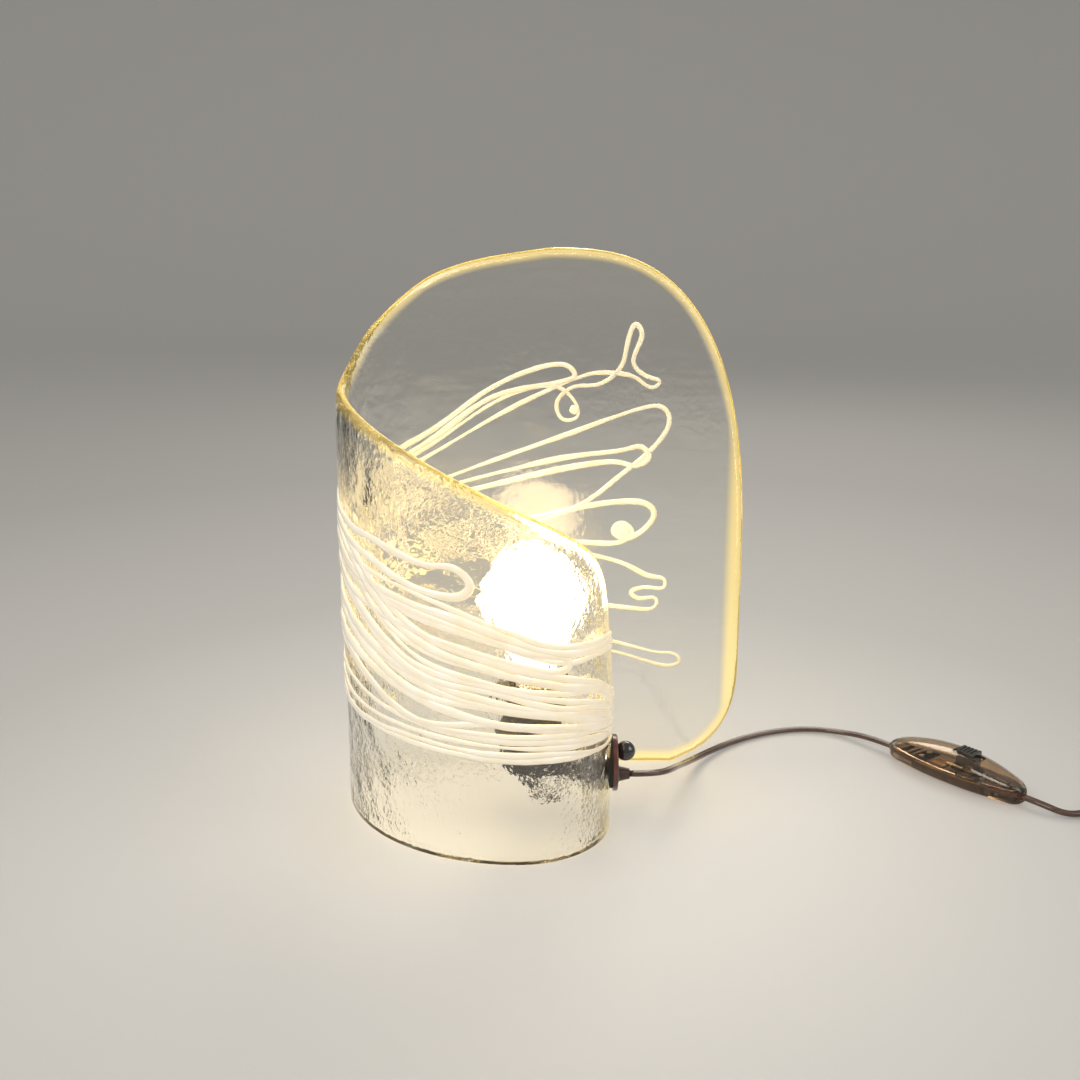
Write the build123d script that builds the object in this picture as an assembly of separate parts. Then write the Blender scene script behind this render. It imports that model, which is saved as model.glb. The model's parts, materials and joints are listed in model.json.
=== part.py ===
from build123d import *

import os
from math import ceil, cos, pi, radians, sin, sqrt, tan

# Table lamp. One thick sheet of cast glass stands on edge, curled into an open tube: a low front leg, a
# bend on the left and a tall straight flap at the back. White glass trails are fused to its outer face.
# A drilled hole in the right bend carries the fitting: rosette, pads, stud, arm, lampholder and bulb.
# Millimetres, +Z up, +X to the right and the front towards -Y. Origin: bottom centre of the glass.

# Glass sheet. Lengths along the sheet run on its outer face, from the side of the right bend (0),
# round the front and the left to the end of the back flap.
SHEET_W = 253.0
SHEET_D = 151.0
SHEET_H = 340.0
GLASS_T = 8.0
FRONT_R = 55.0
BACK_R = 51.2
LEFT_STOP = 10.0
TIP_PAST = 28.0
TIP_LOW_L = 33.0
TIP_LOW_H = 20.0
FLAP_TOP_L = 121.0
FLAP_TOP_H = 210.0
FLAP_LOW_L = 63.0
FLAP_LOW_H = 70.0
TOP_POWER = 2.7
LOW_POWER = 2.3
RIM_LOW = 35.0
RIM = (
    (-28.0, 0.0),
    (3.0, 0.2525),
    (14.0, 0.3475),
    (24.0, 0.4295),
    (42.0, 0.4918),
    (95.0, 0.5836),
    (154.0, 0.6656),
    (205.0, 0.7180),
    (240.0, 0.7410),
    (264.0, 0.7738),
    (292.0, 0.8525),
    (338.0, 0.9541),
    (400.0, 0.9984),
    (430.0, 1.0),
)  # length along the sheet, and the rim's share there of the rise from RIM_LOW to SHEET_H
STATION_STEP = 9.0

# White trails on the outer face, each one hairpin: heights of its two legs at the right bend, at the front,
# at the left side and behind, then the length along the sheet where it turns back, and the loop's heights.
# Heights are per cent of the way from the rosette's top to SHEET_H.
TRAIL_D = 2.6
TRAIL_SUNK = 0.9
TRAIL_SIDES = 6
TRAIL_STEP = 10.0
TRAIL_AT = (8.0, 100.0, 213.0, 325.0)
TRAILS = (
    ((21.2, 19.8), (36.4, 33.6), (45.9, 42.8), (58.3, 54.4), 457.0, (79.2, 72.4)),
    ((18.6, 17.1), (30.7, 27.9), (39.2, 36.4), (51.2, 48.1), 483.0, (64.3, 58.3)),
    ((12.4, 11.0), (24.4, 21.9), (32.9, 30.0), (44.9, 41.7), 465.0, (53.4, 49.8)),
    ((9.7, 8.5), (19.1, 16.6), (26.5, 23.7), (37.8, 34.3), 474.0, (42.4, 35.7)),
    ((7.2, 6.0), (14.1, 12.0), (20.1, 17.3), (28.3, 24.7), 480.0, (28.3, 19.4)),
    ((4.8, 3.5), (9.5, 7.4), (14.1, 11.3), (17.0, 13.4), 492.0, (8.8, 3.9)),
    ((2.3, 1.1), (4.9, 3.2), (8.1, 5.3), (9.5, 6.4), 372.0, (6.7, 2.1)),
)

# Fitting in the right bend
FIX_Z = 40.0
HOLE_D = 26.0
ROSETTE_D = 34.0
ROSETTE_T = 3.0
PAD_D = 31.0
PAD_MIN = 1.0
SEAT = 0.15
PLATE_D = 30.0
PLATE_T = 2.0
STUD_D = 6.0
STUD_UP = 7.5
STUD_BEYOND = 2.0
WASHER_D = 12.0
WASHER_T = 1.2
NUT_AF = 10.0
NUT_T = 5.0
KNOB_D = 12.0
KNOB_FLAT_D = 7.5
RUN_FIT = 0.06
SLIP = 0.2
LIFT = 0.3
EDGE = 1.0
CUT_PAST = 1.0
BUSH_D = 9.0
BUSH_DOWN = 7.5
BUSH_LIP_D = 11.0
BUSH_LIP_T = 2.0
BUSH_COLLAR_T = 1.5
BUSH_TIP_D = 6.2
BUSH_TIP_L = 6.0
ARM_T = 2.0
ARM_W = 24.0
ARM_REACH = 31.0
ARM_BEND_R = 1.2

# Lampholder and its nipple
NIPPLE_D = 9.8
NIPPLE_BORE = 7.2
NIPPLE_DOWN = 10.0
NIPPLE_UP = 10.0
NIPPLE_NUT_AF = 14.0
NIPPLE_NUT_T = 4.0
CAP_D = 39.0
CAP_WALL = 2.2
CAP_H = 22.0
CAP_BOSS_D = 22.0
CAP_BOSS_H = 6.5
CAP_SHOULDER = 2.5
SPIGOT_H = 4.0
SKIRT_H = 32.0
SKIRT_LIP_D = 31.2
SKIRT_LIP_H = 3.0
SKIRT_RIM = 1.0
SKIRT_BAND_H = 3.0
SKIRT_TOP_H = 5.0
INSERT_H = 12.0
INSERT_LEDGE = 2.8
SHELL_D = 28.2
SHELL_WALL = 0.6
SHELL_H = 21.0
CONTACT_UP = 3.7
CONTACT_T = 0.6
CONTACT_L = 14.0
CONTACT_W = 5.0
CONTACT_SPREAD = 1.08
TERMINAL_D = 4.4
TERMINAL_H = 2.2
TERMINAL_OUT = 9.0

# Bulb
BULB_D = 60.0
BULB_L = 104.0
BULB_WALL = 1.0
BULB_NECK_R = 22.0
BULB_CONE = 40.0
BULB_CAP_D = 26.2
BULB_CAP_WALL = 0.7
BULB_CAP_H = 19.0
BULB_CAP_TURNS = 4
BULB_CAP_COLLAR = 2.0
BULB_THREAD_DEEP = 0.8
BULB_NECK_IN = 9.0
BULB_NECK_FIT = 0.2
TIP_D = 9.6
TIP_H = 2.5
INSULATOR_D = 21.0
INSULATOR_H = 4.0
STEM_D = 7.0
STEM_H = 34.0
STEM_FLARE_T = 1.0
FILAMENT_D = 0.8
FILAMENT_SPAN = 24.0
FILAMENT_UP = 22.0
FILAMENT_PEAK = 5.0

# Flex, with its in-line switch, its put-away coil and its plug
FLEX_D = 5.0
LEAD_D = 2.4
LEAD_GAP = 0.4
LEAD_DIP = 13.0
BEND_SHARE = 0.45
EXIT_RUN = 11.0
COIL_RUN = 13.0
RELIEF_RUN = 12.0
LAMP_FLEX = (
    (72.0, -13.5, 30.5),
    (78.5, 0.5, 26.3),
    (83.2, 17.0, 20.3),
    (89.0, 36.0, 13.0),
    (97.6, 55.5, 7.4),
    (109.5, 73.5, 4.4),
    (124.5, 90.5, 2.9),
    (143.5, 105.0, 2.65),
    (166.0, 115.5, 2.6),
    (189.0, 118.5, 2.65),
    (209.5, 111.5, 3.0),
)
SWITCH_RUN = 19.0
PLUG_FLEX = (
    (319.5, -15.5, 2.9),
    (333.0, -13.5, 2.65),
    (347.0, -5.0, 3.0),
)
TAIL_FLEX = (
    (406.0, -2.0, 8.4),
    (421.0, -8.5, 7.7),
)
COIL_AT = (375.0, -35.7)
COIL_R = 29.0
COIL_TURNS = 7
COIL_PITCH = 5.6
COIL_LIFT = 1.5
TIE_W = 8.0
TIE_T = 1.0
TIE_ROOM = 0.4
FLOOR_GAP = 0.1

SWITCH_AT = (268.5, 41.0)
SWITCH_TURN = -51.5
SWITCH_L = 100.0
SWITCH_W = 28.0
SWITCH_H = 21.5
SWITCH_WALL = 1.8
SWITCH_SPLIT = 10.0
SWITCH_PARTING = 0.1
SWITCH_ENTRY_Z = 6.0
SWITCH_NOSE_W = 11.0
SWITCH_NOSE_H = 12.0
SWITCH_TOP_R = 5.0
SLIDER_X = 9.0
SLIDER_L = 13.0
SLIDER_W = 8.0
SLIDER_UP = 2.4
SLIDER_TRAVEL = 3.0
SLIDER_FOOT_L = 17.0
SLIDER_FOOT_W = 11.0
SLIDER_FOOT_T = 3.5
SLIDER_GROOVES = 4
BLOCK_L = 54.0
BLOCK_W = 16.0
BLOCK_H = 5.0
BLOCK_EDGE = 2.0
STRIP_L = 22.0
STRIP_W = 4.0
STRIP_T = 0.7
STRIP_Y = 4.6
STRIP_GAP = 4.0
CLAMP_SCREW_D = 4.0
CLAMP_SCREW_H = 2.6
CORE_D = 2.0

PLUG_TURN = -90.0
PLUG_AT = (428.0, -54.0)
PLUG_L = 36.0
PLUG_W = 35.0
PLUG_T = 13.6
PLUG_REAR_W = 13.0
PLUG_REAR_T = 10.0
PLUG_FLARE_L = 10.8
PLUG_SHOULDER_L = 23.4
PLUG_CORNER_R = 4.0
PIN_D = 4.0
PIN_L = 19.0
PIN_PITCH = 18.6
RELIEF_L = 24.0
RELIEF_D = 9.2
RELIEF_TIP_D = 6.2
RELIEF_RIBS = 5
RELIEF_GROOVE = 0.9

# Places worked out from the sizes above
trail_proud = TRAIL_D - TRAIL_SUNK
trail_low = FIX_Z + ROSETTE_D / 2
stop = radians(LEFT_STOP)
left_r = (SHEET_D - BACK_R * (1 + sin(stop))) / (1 - sin(stop))
back_c = Vector(-SHEET_W / 2 + trail_proud / 2 + BACK_R, SHEET_D / 2 - BACK_R)
left_c = back_c + Vector(cos(stop), sin(stop)) * (left_r - BACK_R)
front_c = Vector(left_c.X, FRONT_R - SHEET_D / 2)
front_l = FRONT_R * pi / 2
left_l = left_r * (pi / 2 - stop)
bend_l = front_l + left_l + BACK_R * (pi / 2 + stop)
flap_end = bend_l + SHEET_W / 2 + trail_proud / 2 - back_c.X

fix_y = front_c.Y
glass_out = front_c.X + FRONT_R
glass_in = glass_out - GLASS_T
pad_in_r = FRONT_R - GLASS_T - SEAT
pad_in_x = front_c.X + sqrt(pad_in_r**2 - (PAD_D / 2) ** 2) - PAD_MIN
plate_x = pad_in_x - PLATE_T
arm_x = plate_x - ARM_T
washer_x = arm_x - WASHER_T
nut_x = washer_x - NUT_T
pad_out_x = glass_out + SEAT + PAD_MIN
rosette_x = pad_out_x + ROSETTE_T
knob_x = rosette_x + SLIP + sqrt(KNOB_D**2 - KNOB_FLAT_D**2) / 2
stud_z = FIX_Z + STUD_UP
bush_z = FIX_Z - BUSH_DOWN
bush_in = plate_x - BUSH_LIP_T
bush_out = rosette_x + BUSH_COLLAR_T + BUSH_TIP_L
holder_x = arm_x - ARM_REACH
shelf_z = FIX_Z - ARM_T
cap_r = CAP_D / 2
ledge_z = FIX_Z + CAP_H - INSERT_H / 2
insert_r = cap_r - CAP_WALL - SLIP - 2 * SLIP
spigot_r = cap_r - 2 * SLIP - CAP_WALL / 2
insert_top = ledge_z + INSERT_H
skirt_z = FIX_Z + CAP_H + SLIP
shell_in = SHELL_D / 2 - SHELL_WALL
tip_z = insert_top + CONTACT_UP + LIFT
bulb_cap_z = tip_z + TIP_H + INSULATOR_H
bulb_cap_top = bulb_cap_z + BULB_CAP_H
bulb_mid = tip_z + BULB_L - BULB_D / 2
neck_z = bulb_cap_top - BULB_NECK_IN
bulb_cap_in = BULB_CAP_D / 2 - BULB_THREAD_DEEP - BULB_CAP_WALL
bulb_neck = bulb_cap_in - BULB_NECK_FIT


def sheet_point(along, depth, z):
    """Point on the sheet: a length along the outer face, a depth below that face, and a height."""
    if along >= bend_l:
        return Vector(back_c.X + along - bend_l, SHEET_D / 2 - depth, z)
    if along < front_l:
        centre, radius, angle = front_c, FRONT_R, -along / FRONT_R
    elif along < front_l + left_l:
        centre, radius, angle = left_c, left_r, -pi / 2 - (along - front_l) / left_r
    else:
        centre, radius, angle = back_c, BACK_R, stop - pi - (along - front_l - left_l) / BACK_R
    return Vector(centre.X + (radius - depth) * cos(angle), centre.Y + (radius - depth) * sin(angle), z)


def smooth(points, t):
    """Height of a smooth curve through (place, height) points."""
    last = len(points) - 1
    i = 0
    while i < last - 1 and t > points[i + 1][0]:
        i += 1

    def slope(k):
        a = points[max(k - 1, 0)]
        b = points[min(k + 1, last)]
        return (b[1] - a[1]) / (b[0] - a[0])

    (x0, y0), (x1, y1) = points[i], points[i + 1]
    span = x1 - x0
    u = min(max((t - x0) / span, 0.0), 1.0)
    start = y0 * (1 + 2 * u) * (1 - u) ** 2 + span * slope(i) * u * (1 - u) ** 2
    return start + y1 * u * u * (3 - 2 * u) + span * slope(i + 1) * u * u * (u - 1)


def corner(past, length, height, power):
    """How far a rounded corner has drawn in, at a distance past its start."""
    share = min(max(past / length, 0.0), 1.0)
    return height * (1 - (1 - share**power) ** (1 / power))


def rim_height(along):
    top = RIM_LOW + (SHEET_H - RIM_LOW) * smooth(RIM, along)
    return top - corner(along - flap_end + FLAP_TOP_L, FLAP_TOP_L, FLAP_TOP_H, TOP_POWER)


def foot_height(along):
    flap = corner(along - flap_end + FLAP_LOW_L, FLAP_LOW_L, FLAP_LOW_H, LOW_POWER)
    tip = corner(TIP_LOW_L - TIP_PAST - along, TIP_LOW_L, TIP_LOW_H, LOW_POWER)
    return flap + tip


def sheet_section(along):
    """Upright section through the glass, with a full round along the rim and towards both ends."""
    half = GLASS_T / 2
    edge = min(along + TIP_PAST, flap_end - along)
    thick = half if edge >= half else sqrt(half**2 - (half - edge) ** 2)
    top = rim_height(along)
    foot = foot_height(along) - GLASS_T / 4
    shoulder = top - thick
    diagonal = thick * sqrt(0.5)
    corners = [
        sheet_point(along, half - thick, foot),
        sheet_point(along, half - thick, shoulder),
        sheet_point(along, half, top),
        sheet_point(along, half + thick, shoulder),
        sheet_point(along, half + thick, foot),
    ]
    outer_mid = sheet_point(along, half - diagonal, shoulder + diagonal)
    inner_mid = sheet_point(along, half + diagonal, shoulder + diagonal)
    return Wire(
        [
            Edge.make_line(corners[0], corners[1]),
            Edge.make_three_point_arc(corners[1], outer_mid, corners[2]),
            Edge.make_three_point_arc(corners[2], inner_mid, corners[3]),
            Edge.make_line(corners[3], corners[4]),
            Edge.make_line(corners[4], corners[0]),
        ]
    )


def end_steps(length):
    """Distances from an end of the sheet, close together where its edge is rounded."""
    nose = [GLASS_T * share for share in (0.03, 0.12, 0.28, 0.5)]
    count = 6
    swell = [length * (1 - cos(pi / 2 * k / count)) for k in range(1, count + 1)]
    return nose + [d for d in swell if d > GLASS_T]


def glass_sheet():
    tip = [d - TIP_PAST for d in end_steps(TIP_PAST + TIP_LOW_L)]
    flap = [flap_end - d for d in end_steps(FLAP_TOP_L)]
    count = ceil((flap[-1] - tip[-1]) / STATION_STEP)
    middle = [tip[-1] + (flap[-1] - tip[-1]) * k / count for k in range(1, count)]
    sheet = Solid.make_loft([sheet_section(s) for s in tip + middle + flap[::-1]])
    ground = Pos(0, 0, -GLASS_T) * Box(2 * SHEET_W, 2 * SHEET_D, 2 * GLASS_T)
    bored = rod(HOLE_D / 2, (glass_in - GLASS_T, fix_y, FIX_Z), (glass_out + GLASS_T, fix_y, FIX_Z))
    return sheet - ground - bored


def trail_height(percent):
    return trail_low + (SHEET_H - trail_low) * percent / 100


def trail(*sizes):
    """One hairpin trail: out along its upper leg, round the loop and back along the lower one."""
    *legs, turn, ends = sizes
    upper = [(s, trail_height(pair[0])) for s, pair in zip(TRAIL_AT, legs)]
    lower = [(s, trail_height(pair[1])) for s, pair in zip(TRAIL_AT, legs)]
    loop_top, loop_low = trail_height(ends[0]), trail_height(ends[1])
    round_r = (loop_top - loop_low) / 2
    middle = (loop_top + loop_low) / 2
    upper.append((turn - round_r, loop_top))
    lower.append((turn - round_r, loop_low))

    def leg(points):
        first, last = points[0][0], points[-1][0]
        count = ceil((last - first) / TRAIL_STEP)
        steps = [first + (last - first) * k / count for k in range(count + 1)]
        return [(s, smooth(points, s)) for s in steps]

    loop_steps = 6
    angles = [pi / 2 - pi * k / loop_steps for k in range(1, loop_steps)]
    loop = [(turn - round_r + round_r * cos(a), middle + round_r * sin(a)) for a in angles]
    line = leg(upper) + loop + leg(lower)[::-1]
    depth = TRAIL_SUNK - TRAIL_D / 2
    places = [sheet_point(s, depth, z) for s, z in line]
    sections = []
    for i, place in enumerate(places):
        before = places[max(i - 1, 0)]
        after = places[min(i + 1, len(places) - 1)]
        outward = sheet_point(line[i][0], depth - 1, line[i][1]) - place
        plane = Plane(place, x_dir=outward, z_dir=after - before)
        turns = [2 * pi * (k + 0.5) / TRAIL_SIDES for k in range(TRAIL_SIDES)]
        ring = [plane.from_local_coords((TRAIL_D / 2 * cos(a), TRAIL_D / 2 * sin(a), 0)) for a in turns]
        sections.append(Wire.make_polygon(ring))
    return Solid.make_loft(sections, ruled=True)


def rod(radius, start, end):
    """Round bar between two points."""
    run = Vector(*end) - Vector(*start)
    return extrude(Plane(start, z_dir=run) * Circle(radius), run.length)


def turned(profile, place=(0, 0, 0)):
    """Closed (radius, height) profile turned about an upright axis."""
    face = make_face(Polyline(*[(r, 0, z) for r, z in profile], close=True))
    return Pos(*place) * revolve(face, Axis.Z)


def turned_along_x(profile, y, z):
    """Closed (radius, place along X) profile turned about an axis along X."""
    face = make_face(Polyline(*[(x, r, 0) for r, x in profile], close=True))
    return Pos(0, y, z) * revolve(face, Axis.X)


def hexagon(across_flats, height):
    return extrude(RegularPolygon(across_flats / 2, 6, major_radius=False), height)


def bend_radii(points):
    """Largest arcs that the runs on both sides of each corner allow."""
    radii = []
    for a, b, c in zip(points, points[1:], points[2:]):
        run_in = Vector(*b) - Vector(*a)
        run_out = Vector(*c) - Vector(*b)
        turn = radians(run_in.get_angle(run_out))
        radii.append(BEND_SHARE * min(run_in.length, run_out.length) / tan(turn / 2))
    return radii


def tube(points, diameter, name):
    """Round tube along straight runs and tangent arcs, with its radii printed and its volume compared."""
    radii = bend_radii(points)
    path = FilletPolyline(*points, radius=radii)
    start = path @ 0
    solid = sweep(Plane(start, z_dir=path % 0) * Circle(diameter / 2), path)
    ideal = pi * diameter**2 / 4 * path.length
    print(name, "length", round(path.length, 1), "volume ratio", round(solid.volume / ideal, 4))
    print(name, "bend radii", [round(r, 1) for r in radii])
    return solid


def outer_rosette():
    face = rod(ROSETTE_D / 2, (pad_out_x, fix_y, FIX_Z), (rosette_x, fix_y, FIX_Z))
    face = fillet(face.edges().group_by(Axis.X)[-1], ROSETTE_T / 3)
    return face - stud_and_bush(pad_out_x, rosette_x)


def stud_and_bush(x_from, x_to):
    """Clearance for the stud and the cord bush through the fitting."""
    start, end = x_from - CUT_PAST, x_to + CUT_PAST
    stud = rod(STUD_D / 2 + SLIP, (start, fix_y, stud_z), (end, fix_y, stud_z))
    bush = rod(BUSH_D / 2 + SLIP, (start, fix_y, bush_z), (end, fix_y, bush_z))
    return stud + bush


def bend_bar(radius):
    return Pos(front_c.X, front_c.Y, 0) * Cylinder(radius, SHEET_H)


def outer_pad():
    blank = rod(PAD_D / 2, (glass_in, fix_y, FIX_Z), (pad_out_x, fix_y, FIX_Z))
    return blank - bend_bar(FRONT_R + SEAT) - stud_and_bush(glass_in, pad_out_x)


def inner_pad():
    blank = rod(PAD_D / 2, (pad_in_x, fix_y, FIX_Z), (glass_out, fix_y, FIX_Z))
    return (blank & bend_bar(pad_in_r)) - stud_and_bush(pad_in_x, glass_out)


def inner_plate():
    plate = rod(PLATE_D / 2, (plate_x, fix_y, FIX_Z), (pad_in_x, fix_y, FIX_Z))
    return plate - stud_and_bush(plate_x, pad_in_x)


def clamp_stud():
    inner = nut_x - STUD_BEYOND
    return rod(STUD_D / 2, (inner, fix_y, stud_z), (knob_x + STUD_BEYOND, fix_y, stud_z))


def stud_washer():
    ring = rod(WASHER_D / 2, (washer_x, fix_y, stud_z), (arm_x, fix_y, stud_z))
    return ring - rod(STUD_D / 2 + SLIP, (nut_x, fix_y, stud_z), (plate_x, fix_y, stud_z))


def stud_nut():
    nut = Plane((nut_x, fix_y, stud_z), z_dir=(1, 0, 0)) * hexagon(NUT_AF, NUT_T)
    return nut - rod(STUD_D / 2 + RUN_FIT, (nut_x - CUT_PAST, fix_y, stud_z), (arm_x, fix_y, stud_z))


def ball_knob():
    seat = rosette_x + SLIP
    ball = Pos(knob_x, fix_y, stud_z) * Sphere(KNOB_D / 2)
    ball -= Pos(seat - KNOB_D / 2, fix_y, stud_z) * Box(KNOB_D, KNOB_D, KNOB_D)
    depth = knob_x + STUD_BEYOND + LIFT
    return ball - rod(STUD_D / 2 + RUN_FIT, (seat - CUT_PAST, fix_y, stud_z), (depth, fix_y, stud_z))


def cord_bush():
    """Sleeve that carries the flex through the glass, with a lip inside and a tapered tail outside."""
    profile = [
        (0, bush_in),
        (BUSH_LIP_D / 2, bush_in),
        (BUSH_LIP_D / 2, plate_x),
        (BUSH_D / 2, plate_x),
        (BUSH_D / 2, rosette_x),
        (BUSH_LIP_D / 2, rosette_x),
        (BUSH_LIP_D / 2, rosette_x + BUSH_COLLAR_T / 2),
        (BUSH_D / 2, rosette_x + BUSH_COLLAR_T),
        (BUSH_TIP_D / 2, bush_out),
        (0, bush_out),
    ]
    return turned_along_x(profile, fix_y, bush_z)


def holder_arm():
    """Bent strip: an upright leg on the stud and a shelf with a round end under the lampholder."""
    leg_top = FIX_Z + ROSETTE_D / 2
    leg = Pos(arm_x + ARM_T / 2, fix_y, (shelf_z + leg_top) / 2) * Box(ARM_T, ARM_W, leg_top - shelf_z)
    leg = fillet(leg.edges().filter_by(Axis.X).group_by(Axis.Z)[-1], ARM_W / 4)
    reach = arm_x + ARM_T - holder_x
    shelf = Pos(holder_x + reach / 2, fix_y, shelf_z + ARM_T / 2) * Box(reach, ARM_W, ARM_T)
    shelf += Pos(holder_x, fix_y, shelf_z + ARM_T / 2) * Cylinder(ARM_W / 2, ARM_T)
    arm = leg + shelf
    inside = arm.edges().filter_by(Axis.Y).sort_by_distance((arm_x, fix_y, FIX_Z))[0]
    arm = fillet(inside, ARM_BEND_R)
    arm -= Pos(holder_x, fix_y, FIX_Z) * Cylinder(NIPPLE_D / 2 + SLIP, 4 * ARM_T)
    return arm - rod(STUD_D / 2 + SLIP, (washer_x, fix_y, stud_z), (plate_x + CUT_PAST, fix_y, stud_z))


def holder_ring(profile):
    return turned(profile, (holder_x, fix_y, 0))


def nipple():
    low = shelf_z - NIPPLE_DOWN
    high = FIX_Z + NIPPLE_UP
    outer, bore = NIPPLE_D / 2, NIPPLE_BORE / 2
    return holder_ring([(bore, low), (outer, low), (outer, high), (bore, high)])


def nipple_nut():
    nut = Pos(holder_x, fix_y, shelf_z - NIPPLE_NUT_T) * hexagon(NIPPLE_NUT_AF, NIPPLE_NUT_T)
    return nut - Pos(holder_x, fix_y, shelf_z) * Cylinder(NIPPLE_D / 2 + RUN_FIT, 4 * NIPPLE_NUT_T)


def holder_cap():
    """Lower half of the lampholder: boss on the nipple, dome, ledge for the insert and spigot."""
    bore = NIPPLE_D / 2 + RUN_FIT
    boss = CAP_BOSS_D / 2
    neck_top = FIX_Z + CAP_BOSS_H
    rim = FIX_Z + CAP_H
    rise = rim - neck_top
    return holder_ring(
        [
            (bore, FIX_Z),
            (boss - EDGE, FIX_Z),
            (boss, FIX_Z + EDGE),
            (boss + EDGE, neck_top - EDGE),
            (cap_r - CAP_SHOULDER, neck_top + rise / 4),
            (cap_r - CAP_SHOULDER / 5, neck_top + rise * 3 / 5),
            (cap_r, rim - rise / 5),
            (cap_r, rim),
            (spigot_r, rim),
            (spigot_r, rim + SPIGOT_H),
            (insert_r + SLIP, rim + SPIGOT_H),
            (insert_r + SLIP, ledge_z),
            (insert_r - INSERT_LEDGE, ledge_z),
            (insert_r - INSERT_LEDGE, neck_top + rise / 3),
            (boss - CAP_WALL, neck_top),
            (bore, neck_top),
        ]
    )


def holder_skirt():
    """Upper half of the lampholder: threaded over the spigot, with a turned-in lip round the bulb."""
    top = skirt_z + SKIRT_H
    inner = spigot_r + SLIP
    outer = cap_r
    lip = SKIRT_LIP_D / 2
    return holder_ring(
        [
            (inner, skirt_z),
            (outer + SKIRT_RIM, skirt_z),
            (outer + SKIRT_RIM, skirt_z + SKIRT_BAND_H),
            (outer, skirt_z + SKIRT_BAND_H + SKIRT_RIM),
            (outer, top - SKIRT_TOP_H - SKIRT_RIM),
            (outer + SKIRT_RIM, top - SKIRT_TOP_H),
            (outer + SKIRT_RIM, top - SKIRT_RIM),
            (outer, top),
            (lip + EDGE / 2, top),
            (lip, top - EDGE / 2),
            (lip, top - SKIRT_LIP_H),
            (inner, top - SKIRT_LIP_H - EDGE),
        ]
    )


def holder_insert():
    return holder_ring([(0, ledge_z), (insert_r, ledge_z), (insert_r, insert_top), (0, insert_top)])


def terminal_screws():
    screw = Cylinder(TERMINAL_D / 2, TERMINAL_H, align=(Align.CENTER, Align.CENTER, Align.MAX))
    slot = Pos(0, 0, -TERMINAL_H) * Box(TERMINAL_D, TERMINAL_D / 5, TERMINAL_H / 2)
    places = (holder_x - TERMINAL_OUT, holder_x + TERMINAL_OUT)
    return Compound([Pos(x, fix_y, ledge_z) * (screw - slot) for x in places])


def screw_shell():
    outer = SHELL_D / 2
    top = insert_top + SHELL_H
    return holder_ring([(shell_in, insert_top), (outer, insert_top), (outer, top), (shell_in, top)])


def centre_contact():
    """Sprung tongue on the insert, arched up to the bulb's tip."""
    half, foot, crest = CONTACT_L / 2, CONTACT_L / 4, CONTACT_L / 10
    under = [(-half, 0), (-foot, 0), (-crest, CONTACT_UP), (crest, CONTACT_UP), (foot, 0), (half, 0)]
    over = [(x * CONTACT_SPREAD if abs(x) < half else x, z) for x, z in under[::-1]]
    outline = [(x, max(z - CONTACT_T, 0)) for x, z in under] + [(x, max(z, CONTACT_T)) for x, z in over]
    face = make_face(Polyline(*[(x, 0, z) for x, z in outline], close=True))
    strip = extrude(face, CONTACT_W / 2, dir=(0, 1, 0), both=True)
    return Pos(holder_x, fix_y, insert_top) * strip


def bulb_line(inset):
    """Outline of the bulb's glass from its top to its neck, moved in by a wall."""
    ball = BULB_D / 2 - inset
    neck = bulb_neck - inset
    cone = radians(BULB_CONE)
    top = (0, 0, bulb_mid + ball)
    side = (ball, 0, bulb_mid)
    end = (ball * cos(cone), 0, bulb_mid - ball * sin(cone))
    foot_z = end[2] - (end[0] - neck) / tan(cone)
    elbow = (neck, 0, foot_z)
    globe = ThreePointArc(top, side, end)
    stalk = FilletPolyline(end, elbow, (neck, 0, neck_z), radius=BULB_NECK_R + inset)
    return globe, stalk


def bulb_envelope():
    globe, stalk = bulb_line(0)
    globe_in, stalk_in = bulb_line(BULB_WALL)
    top = Line(globe_in @ 0, globe @ 0)
    foot = Line(stalk @ 1, stalk_in @ 1)
    face = make_face(globe + stalk + foot + stalk_in + globe_in + top)
    return Pos(holder_x, fix_y, 0) * revolve(face, Axis.Z)


def bulb_cap():
    outer = BULB_CAP_D / 2
    low = INSULATOR_D / 2
    pitch = (BULB_CAP_H - 2 * BULB_CAP_COLLAR) / BULB_CAP_TURNS
    wave = []
    for k in range(BULB_CAP_TURNS):
        z = bulb_cap_z + BULB_CAP_COLLAR + k * pitch
        wave += [(outer - BULB_THREAD_DEEP, z), (outer, z + pitch / 3), (outer, z + pitch * 2 / 3)]
    collar = outer - BULB_THREAD_DEEP
    return holder_ring(
        [(low, bulb_cap_z)]
        + wave
        + [
            (collar, bulb_cap_top - BULB_CAP_COLLAR),
            (collar, bulb_cap_top),
            (bulb_cap_in, bulb_cap_top),
            (bulb_cap_in, bulb_cap_z + BULB_CAP_COLLAR + EDGE / 2),
            (low, bulb_cap_z + EDGE),
        ]
    )


def bulb_insulator():
    low = tip_z + TIP_H
    top = bulb_cap_z + EDGE
    wide = INSULATOR_D / 2 - SLIP
    return holder_ring([(0, low), (TIP_D / 2, low), (wide, bulb_cap_z), (wide, top), (0, top)])


def bulb_contact():
    wide = TIP_D / 2
    top = tip_z + TIP_H
    return holder_ring([(0, tip_z), (wide - EDGE, tip_z), (wide, tip_z + EDGE), (wide, top), (0, top)])


def bulb_stem():
    flare = bulb_neck - BULB_WALL - SLIP
    thin = STEM_D / 2
    top = neck_z + STEM_H
    return holder_ring(
        [
            (0, neck_z),
            (flare, neck_z),
            (flare, neck_z + STEM_FLARE_T),
            (thin, neck_z + STEM_H / 4),
            (thin, top - 2 * EDGE),
            (thin - EDGE, top),
            (0, top),
        ]
    )


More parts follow.
